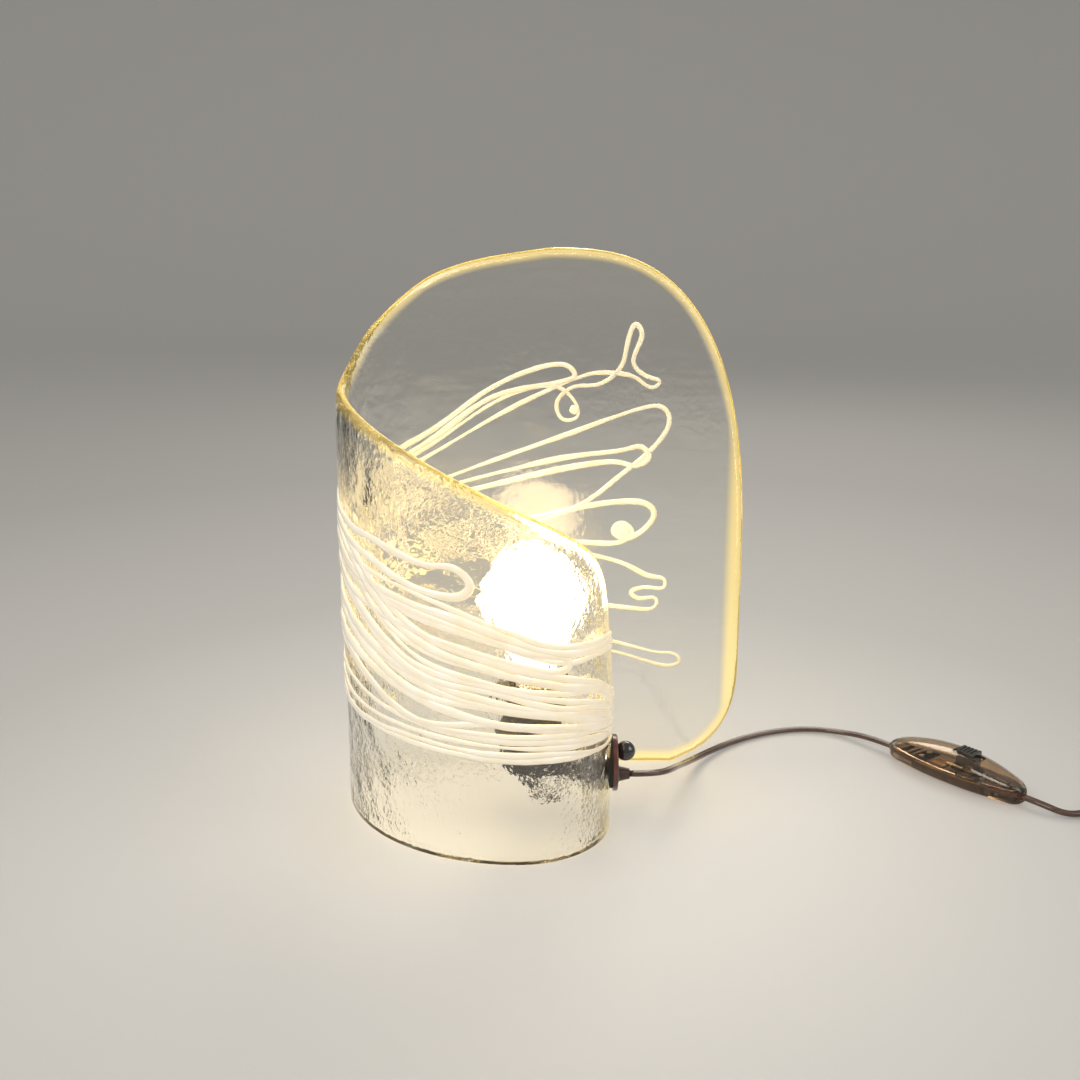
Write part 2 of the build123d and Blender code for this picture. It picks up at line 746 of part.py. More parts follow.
def bulb_filament():
    foot = neck_z + STEM_H + SLIP
    high = foot + FILAMENT_UP
    side = FILAMENT_SPAN / 2
    foot_x = STEM_D / 4
    points = [(-foot_x, foot), (-side, high), (0, high + FILAMENT_PEAK), (side, high), (foot_x, foot)]
    path = FilletPolyline(*[(holder_x + x, fix_y, z) for x, z in points], radius=2 * FILAMENT_D)
    return sweep(Plane(path @ 0, z_dir=path % 0) * Circle(FILAMENT_D / 2), path)


def inner_leads():
    """The flex's two cores from the bush, dipping under the nipple and up through it."""
    low = bush_z - LEAD_DIP
    span = bush_in - holder_x
    route = [
        (bush_in, bush_z),
        (bush_in - span / 3, bush_z),
        (holder_x + span * 0.4, low),
        (holder_x, low),
        (holder_x, FIX_Z + NIPPLE_UP + EDGE),
    ]
    cores = []
    for side in (-1, 1):
        y = fix_y + side * (LEAD_D + LEAD_GAP) / 2
        cores.append(tube([(x, y, z) for x, z in route], LEAD_D, "inner lead"))
    return Compound(cores)


def switch_place():
    return Location((*SWITCH_AT, FLOOR_GAP), (0, 0, SWITCH_TURN))


def switch_end(side, out=0.0):
    """Point where the flex meets the switch, at its lamp end (-1) or plug end (1), or some way out."""
    reach = side * (SWITCH_L / 2 + out)
    return switch_place().position + Vector(reach, 0, SWITCH_ENTRY_Z).rotate(Axis.Z, SWITCH_TURN)


def switch_hull(inset):
    """Torpedo with bowed sides and a bowed back over a flat foot, smaller by a wall for its hollow."""
    end = SWITCH_L / 2 - inset
    side = SWITCH_W / 2 - inset
    nose = SWITCH_NOSE_W / 2 - inset
    back = SWITCH_H - inset
    nose_z = SWITCH_NOSE_H - inset
    bow = ThreePointArc((-end, nose, 0), (0, side, 0), (end, nose, 0))
    bow_back = ThreePointArc((end, -nose, 0), (0, -side, 0), (-end, -nose, 0))
    plan = bow + Line(bow @ 1, bow_back @ 0) + bow_back + Line(bow_back @ 1, bow @ 0)
    rise = ThreePointArc((-end, 0, nose_z), (0, 0, back), (end, 0, nose_z))
    floor = Polyline(rise @ 1, (end, 0, inset), (-end, 0, inset), rise @ 0)
    tall = extrude(make_face(plan), 2 * SWITCH_H)
    wide = extrude(make_face(rise + floor), SWITCH_W, dir=(0, 1, 0), both=True)
    hull = tall & wide
    ridge = [e for e in hull.edges() if e.center().Z > nose_z and abs(e.center().Y) > nose / 2]
    return fillet(ridge, SWITCH_TOP_R - inset)


def switch_entry():
    return Pos(0, 0, SWITCH_ENTRY_Z) * Rot(0, 90, 0) * Cylinder(FLEX_D / 2, 2 * SWITCH_L)


def switch_lower():
    below = Pos(0, 0, SWITCH_SPLIT / 2) * Box(2 * SWITCH_L, 2 * SWITCH_W, SWITCH_SPLIT)
    return switch_place() * ((switch_hull(0) & below) - switch_hull(SWITCH_WALL) - switch_entry())


def switch_upper():
    above_z = SWITCH_SPLIT + SWITCH_PARTING
    above = Pos(0, 0, above_z + SWITCH_H / 2) * Box(2 * SWITCH_L, 2 * SWITCH_W, SWITCH_H)
    slot_l = SLIDER_L + 2 * SLIDER_TRAVEL + 2 * LIFT
    slot = Pos(SLIDER_X, 0, SWITCH_H) * Box(slot_l, SLIDER_W + 2 * LIFT, SWITCH_H)
    return switch_place() * ((switch_hull(0) & above) - switch_hull(SWITCH_WALL) - slot)


def block_top():
    return SWITCH_WALL + SLIP + BLOCK_H


def switch_slider():
    """Thumb slider: foot over the contact strips, shank through the slot and a grooved thumb face."""
    foot_z = block_top() + STRIP_T + LIFT
    top = SWITCH_H + SLIDER_UP
    foot = Pos(0, 0, foot_z + SLIDER_FOOT_T / 2) * Box(SLIDER_FOOT_L, SLIDER_FOOT_W, SLIDER_FOOT_T)
    shank = Pos(0, 0, (foot_z + top) / 2) * Box(SLIDER_L, SLIDER_W, top - foot_z)
    pitch = SLIDER_L / (SLIDER_GROOVES + 1)
    for k in range(1, SLIDER_GROOVES + 1):
        shank -= Pos(k * pitch - SLIDER_L / 2, 0, top) * Box(pitch / 3, 2 * SLIDER_W, pitch / 2)
    return switch_place() * Pos(SLIDER_X, 0, 0) * (foot + shank)


def contact_block():
    block = Pos(0, 0, SWITCH_WALL + SLIP + BLOCK_H / 2) * Box(BLOCK_L, BLOCK_W, BLOCK_H)
    return switch_place() * chamfer(block.edges().filter_by(Axis.Z), BLOCK_EDGE)


def contact_strips():
    z = block_top() + STRIP_T / 2
    x_out = (STRIP_L + STRIP_GAP) / 2
    places = [(x, y) for x in (-x_out, x_out) for y in (-STRIP_Y, STRIP_Y)]
    return switch_place() * Compound([Pos(x, y, z) * Box(STRIP_L, STRIP_W, STRIP_T) for x, y in places])


def clamp_screws():
    z = block_top() + STRIP_T
    x_out = BLOCK_L / 2 - CLAMP_SCREW_D
    screw = Cylinder(CLAMP_SCREW_D / 2, CLAMP_SCREW_H, align=(Align.CENTER, Align.CENTER, Align.MIN))
    screw -= Pos(0, 0, CLAMP_SCREW_H) * Box(CLAMP_SCREW_D, CLAMP_SCREW_D / 5, CLAMP_SCREW_H / 2)
    places = [(x, y) for x in (-x_out, x_out) for y in (-STRIP_Y, STRIP_Y)]
    return switch_place() * Compound([Pos(x, y, z) * screw for x, y in places])


def switch_cores():
    """The flex's bare-ended cores inside the switch, from each entry to the contact block."""
    z = SWITCH_ENTRY_Z
    cores = []
    for side in (-1, 1):
        for lane in (-1, 1):
            start = (side * (SWITCH_L / 2 - LIFT), lane * (CORE_D + SLIP) / 2, z)
            cores.append(rod(CORE_D / 2, start, (side * (BLOCK_L / 2 + LIFT), lane * STRIP_Y, z)))
    return switch_place() * Compound(cores)


def plug_place():
    return Location((*PLUG_AT, PLUG_T / 2 + FLOOR_GAP), (0, 0, PLUG_TURN))


def plug_body():
    """Flat two-pin plug: a loft from the narrow cord end to the wide pin face."""
    half_rise = (PLUG_REAR_W + PLUG_W) / 2
    half_thick = (PLUG_REAR_T + PLUG_T) / 2
    sizes = (
        (0, PLUG_REAR_W, PLUG_REAR_T),
        (PLUG_FLARE_L, half_rise, half_thick),
        (PLUG_SHOULDER_L, PLUG_W, PLUG_T),
        (PLUG_L, PLUG_W - EDGE, PLUG_T - EDGE),
    )
    sections = []
    for x, width, thick in sizes:
        plane = Plane((x, 0, 0), x_dir=(0, 1, 0), z_dir=(1, 0, 0))
        sections.append(plane * RectangleRounded(width, thick, PLUG_CORNER_R))
    return plug_place() * loft(sections)


def plug_pins():
    pins = []
    for side in (-1, 1):
        pin = rod(PIN_D / 2, (PLUG_L, side * PIN_PITCH / 2, 0), (PLUG_L + PIN_L, side * PIN_PITCH / 2, 0))
        pins.append(fillet(pin.edges().group_by(Axis.X)[-1], PIN_D / 3))
    return plug_place() * Compound(pins)


def plug_relief():
    """Tapered tail of the plug, grooved so that it bends."""
    pitch = RELIEF_L / (RELIEF_RIBS + 1)
    taper = (RELIEF_D - RELIEF_TIP_D) / 2 / RELIEF_L
    profile = [(0, 0), (RELIEF_D / 2, 0)]
    for k in range(1, RELIEF_RIBS + 1):
        x = -k * pitch
        r = RELIEF_D / 2 + taper * x
        profile += [(r, x + pitch / 3), (r - RELIEF_GROOVE, x + pitch / 3), (r - RELIEF_GROOVE, x), (r, x)]
    profile += [(RELIEF_TIP_D / 2, -RELIEF_L), (0, -RELIEF_L)]
    return plug_place() * turned_along_x(profile, 0, 0)


def relief_end(out=0.0):
    """End of the plug's tail, or a point some way out from it along the flex."""
    return plug_place().position + Vector(-RELIEF_L - out, 0, 0).rotate(Axis.Z, PLUG_TURN)


def coil_point(turn):
    """Centre of the flex in the coil: it spirals in, climbs a layer in half a turn and spirals out."""
    half = COIL_TURNS / 2
    inner = COIL_R - COIL_PITCH * COIL_TURNS / 4
    radius = inner + COIL_PITCH * abs(turn - half)
    climb = min(max(2 * (turn - half) + 0.5, 0), 1)
    z = COIL_LIFT + FLEX_D / 2 + COIL_PITCH * climb * climb * (3 - 2 * climb)
    angle = pi / 2 - 2 * pi * turn
    return Vector(COIL_AT[0] + radius * cos(angle), COIL_AT[1] + radius * sin(angle), z)


def coil_way(turn):
    """Direction of the flex in the coil."""
    nudge = 0.001
    return (coil_point(turn + nudge) - coil_point(turn - nudge)).normalized()


def biarc(start, start_dir, end, end_dir):
    """Two tangent arcs between two points with given directions."""
    chord = end - start
    both = start_dir + end_dir
    spread = 2 * (1 - start_dir.dot(end_dir))
    along = chord.dot(both)
    reach = (sqrt(along**2 + spread * chord.dot(chord)) - along) / spread
    join = (start + end + (start_dir - end_dir) * reach) * 0.5
    first = Edge.make_tangent_arc(start, start_dir, join)
    return [first, Edge.make_tangent_arc(join, first % 1, end)]


def cord_coil():
    quarters = 4 * COIL_TURNS
    places = [coil_point(k / 4) for k in range(quarters + 1)]
    ways = [coil_way(k / 4) for k in range(quarters + 1)]
    arcs = []
    for k in range(quarters):
        arcs += biarc(places[k], ways[k], places[k + 1], ways[k + 1])
    path = Wire(arcs)
    solid = sweep(Plane(path @ 0, z_dir=path % 0) * Circle(FLEX_D / 2), path)
    per_arc = 4
    line = [arc @ (step / per_arc) for arc in arcs for step in range(per_arc)]
    apart = 5 * per_arc
    pairs = ((a - b).length for i, a in enumerate(line) for b in line[i + apart :])
    ideal = pi * FLEX_D**2 / 4 * path.length
    print("coil length", round(path.length, 1), "volume ratio", round(solid.volume / ideal, 4))
    print("coil least gap to itself", round(min(pairs) - FLEX_D, 2))
    return solid


def coil_tie():
    """Flat strap round all the turns, at the coil's near side."""
    inner = COIL_R - COIL_PITCH * COIL_TURNS / 4 - FLEX_D / 2 - TIE_ROOM
    outer = COIL_R + COIL_PITCH * COIL_TURNS / 4 + FLEX_D / 2 + TIE_ROOM
    top = COIL_LIFT + FLEX_D + COIL_PITCH + TIE_ROOM
    low = COIL_LIFT - TIE_ROOM
    depth = outer - inner
    middle = COIL_AT[1] - (inner + outer) / 2
    opening = Pos(COIL_AT[0], middle, (low + top) / 2) * Box(2 * TIE_W, depth, top - low)
    band = Pos(COIL_AT[0], middle, (low + top) / 2) * Box(TIE_W, depth + 2 * TIE_T, top - low + 2 * TIE_T)
    band = fillet(band.edges().filter_by(Axis.X), TIE_T)
    return band - opening


def lamp_flex():
    """Flex from the bush to the switch, straight out of the one and straight into the other."""
    start = [(bush_out, fix_y, bush_z), (bush_out + EXIT_RUN, fix_y, bush_z)]
    end = [tuple(switch_end(-1, SWITCH_RUN)), tuple(switch_end(-1))]
    return tube(start + list(LAMP_FLEX) + end, FLEX_D, "lamp flex")


def plug_flex():
    """Flex from the switch to the first turn of the coil."""
    start = [tuple(switch_end(1)), tuple(switch_end(1, COIL_RUN))]
    end = [tuple(coil_point(0) - coil_way(0) * COIL_RUN), tuple(coil_point(0))]
    return tube(start + list(PLUG_FLEX) + end, FLEX_D, "plug flex")


def tail_flex():
    """Flex from the last turn of the coil to the plug."""
    last = coil_point(COIL_TURNS)
    start = [tuple(last), tuple(last + coil_way(COIL_TURNS) * COIL_RUN)]
    end = [tuple(relief_end(RELIEF_RUN)), tuple(relief_end())]
    return tube(start + list(TAIL_FLEX) + end, FLEX_D, "tail flex")


PIECES = {
    "glass_sheet": glass_sheet,
    "white_trails": lambda: Compound([trail(*sizes) for sizes in TRAILS]),
    "outer_rosette": outer_rosette,
    "outer_pad": outer_pad,
    "inner_pad": inner_pad,
    "inner_plate": inner_plate,
    "clamp_stud": clamp_stud,
    "stud_washer": stud_washer,
    "stud_nut": stud_nut,
    "ball_knob": ball_knob,
    "cord_bush": cord_bush,
    "holder_arm": holder_arm,
    "nipple": nipple,
    "nipple_nut": nipple_nut,
    "holder_cap": holder_cap,
    "holder_skirt": holder_skirt,
    "holder_insert": holder_insert,
    "terminal_screws": terminal_screws,
    "screw_shell": screw_shell,
    "centre_contact": centre_contact,
    "inner_leads": inner_leads,
    "bulb_envelope": bulb_envelope,
    "bulb_cap": bulb_cap,
    "bulb_insulator": bulb_insulator,
    "bulb_contact": bulb_contact,
    "bulb_stem": bulb_stem,
    "bulb_filament": bulb_filament,
    "lamp_flex": lamp_flex,
    "switch_lower": switch_lower,
    "switch_upper": switch_upper,
    "switch_slider": switch_slider,
    "contact_block": contact_block,
    "contact_strips": contact_strips,
    "clamp_screws": clamp_screws,
    "switch_cores": switch_cores,
    "plug_flex": plug_flex,
    "cord_coil": cord_coil,
    "coil_tie": coil_tie,
    "tail_flex": tail_flex,
    "plug_relief": plug_relief,
    "plug_body": plug_body,
    "plug_pins": plug_pins,
}

os.makedirs("parts", exist_ok=True)
for name, make in PIECES.items():
    export_step(make(), f"parts/{name}.step")
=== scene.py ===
import json
import random
from math import ceil, cos, pi, radians, sin, sqrt

import bmesh
import bpy
from mathutils import Matrix, Vector, noise


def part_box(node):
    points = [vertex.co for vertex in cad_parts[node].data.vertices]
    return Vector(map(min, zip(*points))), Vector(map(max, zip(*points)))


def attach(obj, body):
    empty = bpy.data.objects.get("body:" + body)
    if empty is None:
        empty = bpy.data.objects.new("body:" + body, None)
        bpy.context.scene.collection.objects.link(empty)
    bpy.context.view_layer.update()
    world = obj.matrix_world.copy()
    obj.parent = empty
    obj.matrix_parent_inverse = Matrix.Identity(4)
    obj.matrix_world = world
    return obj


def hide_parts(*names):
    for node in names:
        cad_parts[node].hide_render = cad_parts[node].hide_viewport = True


# Table lamp: a curled sheet of cast glass with white trails, a lit bulb on an arm inside it, and a brown
# twin flex with a smoky in-line switch. Metres, +Z up, the front towards -Y.

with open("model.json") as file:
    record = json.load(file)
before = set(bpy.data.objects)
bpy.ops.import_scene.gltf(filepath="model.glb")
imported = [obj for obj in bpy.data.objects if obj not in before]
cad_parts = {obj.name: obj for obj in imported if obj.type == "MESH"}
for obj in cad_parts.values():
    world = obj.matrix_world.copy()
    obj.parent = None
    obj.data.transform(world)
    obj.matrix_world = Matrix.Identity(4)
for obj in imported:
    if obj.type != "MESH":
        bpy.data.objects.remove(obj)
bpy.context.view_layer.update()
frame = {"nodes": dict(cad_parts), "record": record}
bpy.context.scene.view_settings.view_transform = "Standard"
chance = random.Random(7)

# Camera
CAMERA_AT = (-0.00408, -0.7604, 0.37735)
CAMERA_PITCH = 15.0
CAMERA_LENS = 44.2
CAMERA_SENSOR = 36.0

# Glass sheet: lengths along it run on its outer face from the side of the right bend
SHEET_W = 0.253
SHEET_D = 0.151
SHEET_H = 0.340
GLASS_T = 0.008
FRONT_R = 0.055
BACK_R = 0.0512
LEFT_STOP = radians(10.0)
TIP_PAST = 0.028
TRAIL_PROUD = 0.0017
FIX_Z = 0.040
HOLE_R = 0.013
HOLE_L = 0.050
PAD_R = 0.0175

# Rounded corners of the sheet: length, height and power of the curve
TIP_LOW = (0.033, 0.020, 2.3)
FLAP_TOP = (0.121, 0.210, 2.7)
FLAP_LOW = (0.063, 0.070, 2.3)

# Rim: length along the sheet, and the rim's share there of the rise from RIM_LOW to SHEET_H
RIM_LOW = 0.035
RIM = (
    (-0.028, 0.0),
    (0.003, 0.2525),
    (0.014, 0.3475),
    (0.024, 0.4295),
    (0.042, 0.4918),
    (0.095, 0.5836),
    (0.154, 0.6656),
    (0.205, 0.7180),
    (0.240, 0.7410),
    (0.264, 0.7738),
    (0.292, 0.8525),
    (0.338, 0.9541),
    (0.400, 0.9984),
    (0.430, 1.0),
)

# Rounded edges of the sheet
EDGE_NOSE = 0.0080
FOOT_NOSE = 0.0015
FOOT_LIFT = 0.004
NOSE_MOST = 0.3

# Painted golden glow along the edges, standing in for light piped through the glass: how distances from the
# flap's end and the rim count, how far it stays off where the sheet stands on the floor, and where it fades
FLAP_EDGE = 0.70
RIM_EDGE = 1.20
FLOOR_EDGE = 1.4 * EDGE_NOSE
EDGE_FADE = (0.50 * EDGE_NOSE, 1.20 * EDGE_NOSE)
EDGE_GLOW_SHARE = "edge_share"

# Cast relief: each layer's runs along and up the sheet, its place in the noise, and the shift for a face
SWELL = (0.055, 0.075, 3.1, 7.0)
DENTS = (0.012, 0.014, 9.7, 5.0)
POCKS = (0.0055, 0.006, 21.3, 5.0)
PATCHES = (0.035, 0.04, 31.9, 5.0)
SWELL_H = 0.00045
DENTS_H = 0.00050
POCKS_H = 0.00030
PATCH_FADE = (-0.15, 0.25)
INNER_SHARE = 0.5
FLAP_CALM = 0.75
FLAP_FADE = (0.25, 0.34)
SEAT_FADE = (PAD_R, 1.6 * PAD_R)
EDGE_CALM = (0.002, 0.012)
CAST_SHARE = "cast_share"

# Mesh of the sheet: points in a section, and distances between sections
SECTION_ROWS = 164
SECTION_TURNS = 10
STATION_STEP = 0.0017
TIP_STATIONS = (0.05, 14)
FLAP_STATIONS = (FLAP_TOP[0], 34)
NOSE_STATIONS = (0.01, 0.04, 0.09, 0.17, 0.28, 0.42, 0.58, 0.78, 1.0)
NOSE_CLEAR = 1.15 * EDGE_NOSE
SLOPE_STEP = 0.0005
THINNEST = 1e-5
GLASS_CREASE = 50.0

left_r = (SHEET_D - BACK_R * (1 + sin(LEFT_STOP))) / (1 - sin(LEFT_STOP))
back_c = Vector((-SHEET_W / 2 + TRAIL_PROUD / 2 + BACK_R, SHEET_D / 2 - BACK_R))
left_c = back_c + Vector((cos(LEFT_STOP), sin(LEFT_STOP))) * (left_r - BACK_R)
front_c = Vector((left_c.x, FRONT_R - SHEET_D / 2))
front_l = FRONT_R * pi / 2
left_l = left_r * (pi / 2 - LEFT_STOP)
bend_l = front_l + left_l + BACK_R * (pi / 2 + LEFT_STOP)
flap_end = bend_l + SHEET_W / 2 + TRAIL_PROUD / 2 - back_c.x
glass_out = front_c.x + FRONT_R
fix_y = front_c.y

# Bulb
BULB_R = 0.030
BULB_NECK = 0.0114
BULB_CONE = 40.0
BULB_ELBOW = 0.022
BULB_STEPS = 40
ELBOW_STEPS = 12

bulb_low, bulb_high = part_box("bulb_envelope")
holder_at = Vector(((bulb_low.x + bulb_high.x) / 2, (bulb_low.y + bulb_high.y) / 2, 0))
bulb_middle = holder_at + Vector((0, 0, bulb_high.z - BULB_R))


class Value:
    """A shader socket that takes part in Python arithmetic."""

    def __init__(self, paint, socket):
        self.paint = paint
        self.socket = socket

    def math(self, operation, first, second):
        return self.paint.node("ShaderNodeMath", {"operation": operation}, {0: first, 1: second})

    def __add__(self, other):
        return self.math("ADD", self, other)

    def __radd__(self, other):
        return self.math("ADD", other, self)

    def __mul__(self, other):
        return self.math("MULTIPLY", self, other)

    def __rmul__(self, other):
        return self.math("MULTIPLY", other, self)


class Paint:
    """The nodes of one material, or of the world."""

    def __init__(self, name, store=bpy.data.materials):
        self.data = store.new(name)
        self.data.use_nodes = True
        self.tree = self.data.node_tree
        self.tree.nodes.clear()

    def node(self, kind, settings=None, inputs=None, output=0):
        made = self.tree.nodes.new(kind)
        for key, setting in (settings or {}).items():
            if key == "stops":
                self.set_stops(made.color_ramp, setting)
            else:
                setattr(made, key, setting)
        for key, value in (inputs or {}).items():
            socket = made.inputs[key]
            if isinstance(value, Value):
                self.tree.links.new(value.socket, socket)
            else:
                socket.default_value = value
        return Value(self, made.outputs[output]) if made.outputs else None

    @staticmethod
    def set_stops(ramp, stops):
        while len(ramp.elements) < len(stops):
            ramp.elements.new(0.5)
        for element, (place, colour) in zip(ramp.elements, stops):
            element.position = place
            element.color = (*colour, 1.0)

    def grain(self, scale, detail=2.0, stretch=(1.0, 1.0, 1.0)):
        """Cloudy noise in the piece's own metres."""
        place = self.node("ShaderNodeTexCoord", output="Object")
        place = self.node("ShaderNodeMapping", {}, {"Vector": place, "Scale": stretch})
        return self.node("ShaderNodeTexNoise", {}, {"Vector": place, "Scale": scale, "Detail": detail})

    def share(self, name):
        """A number that the mesh carries at each of its points."""
        return self.node("ShaderNodeAttribute", {"attribute_name": name}, output="Fac")

    def ramp(self, value, *stops):
        return self.node("ShaderNodeValToRGB", {"stops": stops}, {0: value})

    def bump(self, height, distance, strength=1.0):
        inputs = {"Height": height, "Distance": distance, "Strength": strength}
        return self.node("ShaderNodeBump", {}, inputs)

    def surface(self, depth=None, shade=None, **sockets):
        """Finish the material with one Principled shader; the names are its sockets with _ for spaces.

        Shade is the tint of the light that lamps send through a clear piece, and depth its inner colour.
        """
        inputs = {key.replace("_", " "): value for key, value in sockets.items()}
        shader = self.node("ShaderNodeBsdfPrincipled", {}, inputs)
        if shade:
            lamp_ray = self.node("ShaderNodeLightPath", output="Is Shadow Ray")
            through = self.node("ShaderNodeBsdfTransparent", {}, {"Color": (*shade, 1)})
            shader = self.node("ShaderNodeMixShader", {}, {0: lamp_ray, 1: shader, 2: through})
        outputs = {"Surface": shader}
        if depth:
            outputs["Volume"] = depth
        self.node("ShaderNodeOutputMaterial", {}, outputs)
        return self.data


def mixed(dark, pale):
    """Ramp stops from a darker to a paler colour."""
    return (0.35, dark), (0.65, pale)


# Shares of the glass's fine bumps
MOTTLE = 0.85
RIPPLE = 0.7
STREAKS = 0.6


def sheet_glass():
    """Clear cast glass: mottled in patches, straw-coloured in its depth, with a golden tint and glow
    painted along its edges where light leaves it.
    """
    paint = Paint("sheet_glass")
    patches = paint.ramp(paint.grain(26.0), (0.36, (0, 0, 0)), (0.56, (1, 1, 1)))
    mottle = paint.grain(420.0, 2.0, (1.0, 1.0, 0.75))
    ripple = paint.grain(120.0, 1.0)
    streaks = paint.grain(40.0, 2.0, (0.35, 1.0, 1.6))
    hammered = mottle * patches * MOTTLE + ripple * RIPPLE
    height = hammered * paint.share(CAST_SHARE) + streaks * STREAKS
    edge = paint.share(EDGE_GLOW_SHARE)
    straw = {"Color": (0.94, 0.88, 0.58, 1), "Density": 13.0}
    return paint.surface(
        depth=paint.node("ShaderNodeVolumeAbsorption", {}, straw),
        shade=(0.97, 0.95, 0.90),
        # The golden tint and the emission along the edges are painted glow, standing in for light piped
        # through the glass
        Base_Color=paint.ramp(edge, (0.0, (0.992, 0.988, 0.972)), (1.0, (0.96, 0.88, 0.58))),
        Roughness=0.012,
        IOR=1.5,
        Transmission_Weight=1.0,
        Emission_Color=paint.ramp(edge, (0.15, (0, 0, 0)), (1.0, (0.24, 0.17, 0.04))),
        Emission_Strength=1.0,
        Normal=paint.bump(height, 0.0010, 0.75),
    )


def trail_glass():
    """White glass with a painted warm glow that fades away from the bulb, standing in for the bulb's light
    on it.
    """
    paint = Paint("trail_glass")
    cloud = paint.grain(90.0, 3.0)
    ends = {0: paint.node("ShaderNodeTexCoord", output="Object"), 1: bulb_middle}
    away = paint.node("ShaderNodeVectorMath", {"operation": "DISTANCE"}, ends, "Value")
    return paint.surface(
        Base_Color=paint.ramp(cloud, *mixed((0.94, 0.88, 0.74), (0.97, 0.94, 0.86))),
        Roughness=0.12 + cloud * 0.12,
        Coat_Weight=0.6,
        Coat_Roughness=0.05,
        Subsurface_Weight=0.2,
        Subsurface_Radius=(0.0012, 0.0011, 0.0010),
        Subsurface_Scale=1.0,
        # Painted glow: the bulb's warm light painted on the trails as emission, fading away from the bulb
        Emission_Color=paint.ramp(away, (0.055, (0.24, 0.17, 0.07)), (0.14, (0.03, 0.02, 0.008))),
        Emission_Strength=1.0,
        Normal=paint.bump(paint.grain(420.0), 0.0003, 0.3),
    )


def bulb_glass():
    """The lit bulb."""
    paint = Paint("bulb_glass")
    return paint.surface(
        Base_Color=(0.95, 0.88, 0.72, 1),
        Roughness=0.18,
        Coat_Weight=0.8,
        Emission_Color=paint.ramp(paint.grain(14.0), *mixed((1.0, 0.70, 0.32), (1.0, 0.77, 0.40))),
        Emission_Strength=10.0,
    )


def plain(name, dark, pale, roughness, scale=160.0, metallic=0.0, coat=0.0, bump=0.0002):
    """A finish with a slight drift of colour, uneven gloss and a fine surface."""
    paint = Paint(name)
    cloud = paint.grain(scale, 4.0)
    return paint.surface(
        Base_Color=paint.ramp(cloud, *mixed(dark, pale)),
        Roughness=roughness * 0.8 + cloud * roughness * 0.4,
        Metallic=metallic,
        Coat_Weight=coat,
        Normal=paint.bump(paint.grain(scale * 6), bump, 0.25),
    )


def clear_plastic(name, tint, roughness):
    """A tinted clear piece with a slightly uneven surface."""
    paint = Paint(name)
    cloud = paint.grain(120.0, 3.0)
    return paint.surface(
        shade=tint,
        Base_Color=(*tint, 1),
        Roughness=roughness + cloud * 0.08,
        IOR=1.46,
        Transmission_Weight=1.0,
        Normal=paint.bump(paint.grain(260.0), 0.0003, 0.15),
    )


FINISHES = {
    "sheet_glass": sheet_glass(),
    "white_glass": trail_glass(),
    "bulb_glass": bulb_glass(),
    "dark_enamel": plain("dark_enamel", (0.085, 0.022, 0.014), (0.13, 0.038, 0.024), 0.22, coat=0.5),
    "black_rubber": plain("black_rubber", (0.012, 0.012, 0.012), (0.022, 0.021, 0.020), 0.65),
    "dark_bracket": plain("dark_bracket", (0.020, 0.018, 0.016), (0.034, 0.031, 0.028), 0.38),
    "zinc_steel": plain("zinc_steel", (0.48, 0.48, 0.49), (0.60, 0.60, 0.61), 0.28, metallic=1.0),
    "black_gloss": plain(
        "black_gloss", (0.008, 0.007, 0.007), (0.016, 0.014, 0.013), 0.04, coat=1.0, bump=0.0001
    ),
    "bush_plastic": plain("bush_plastic", (0.045, 0.024, 0.016), (0.07, 0.04, 0.028), 0.3),
    "holder_plastic": plain("holder_plastic", (0.018, 0.016, 0.015), (0.03, 0.027, 0.025), 0.26, coat=0.3),
    "porcelain": plain("porcelain", (0.80, 0.78, 0.73), (0.87, 0.85, 0.81), 0.16, coat=0.6),
    "brass_contact": plain("brass_contact", (0.62, 0.43, 0.17), (0.76, 0.56, 0.26), 0.25, metallic=1.0),
    "core_insulation": plain("core_insulation", (0.11, 0.055, 0.03), (0.16, 0.085, 0.045), 0.35),
    "cap_aluminium": plain("cap_aluminium", (0.68, 0.68, 0.69), (0.78, 0.78, 0.79), 0.24, metallic=1.0),
    "black_glass": plain("black_glass", (0.012, 0.012, 0.013), (0.024, 0.024, 0.026), 0.1, coat=0.6),
    "stem_glass": clear_plastic("stem_glass", (0.96, 0.95, 0.92), 0.05),
    "hot_wire": plain("hot_wire", (0.80, 0.45, 0.15), (0.95, 0.65, 0.28), 0.4, metallic=1.0),
    "smoky_plastic": clear_plastic("smoky_plastic", (0.74, 0.60, 0.45), 0.03),
    "block_plastic": plain("block_plastic", (0.05, 0.038, 0.03), (0.085, 0.066, 0.052), 0.4),
    "tie_strap": plain("tie_strap", (0.016, 0.016, 0.016), (0.032, 0.031, 0.030), 0.8, scale=500.0),
    "plug_plastic": plain("plug_plastic", (0.05, 0.026, 0.017), (0.075, 0.043, 0.03), 0.24, coat=0.3),
    "pin_brass": plain("pin_brass", (0.66, 0.52, 0.26), (0.78, 0.64, 0.36), 0.2, metallic=1.0),
    "brown_flex": plain("brown_flex", (0.060, 0.028, 0.016), (0.095, 0.048, 0.028), 0.2, coat=0.5),
}


# Points nearer to each other than this are one point
WELD = 1e-6


def clean(mesh, weld=None):
    """Faces turned outwards, and points nearer than the weld distance joined."""
    work = bmesh.new()
    work.from_mesh(mesh)
    if weld:
        bmesh.ops.remove_doubles(work, verts=work.verts, dist=weld)
    bmesh.ops.recalc_face_normals(work, faces=work.faces)
    work.to_mesh(mesh)
    work.free()


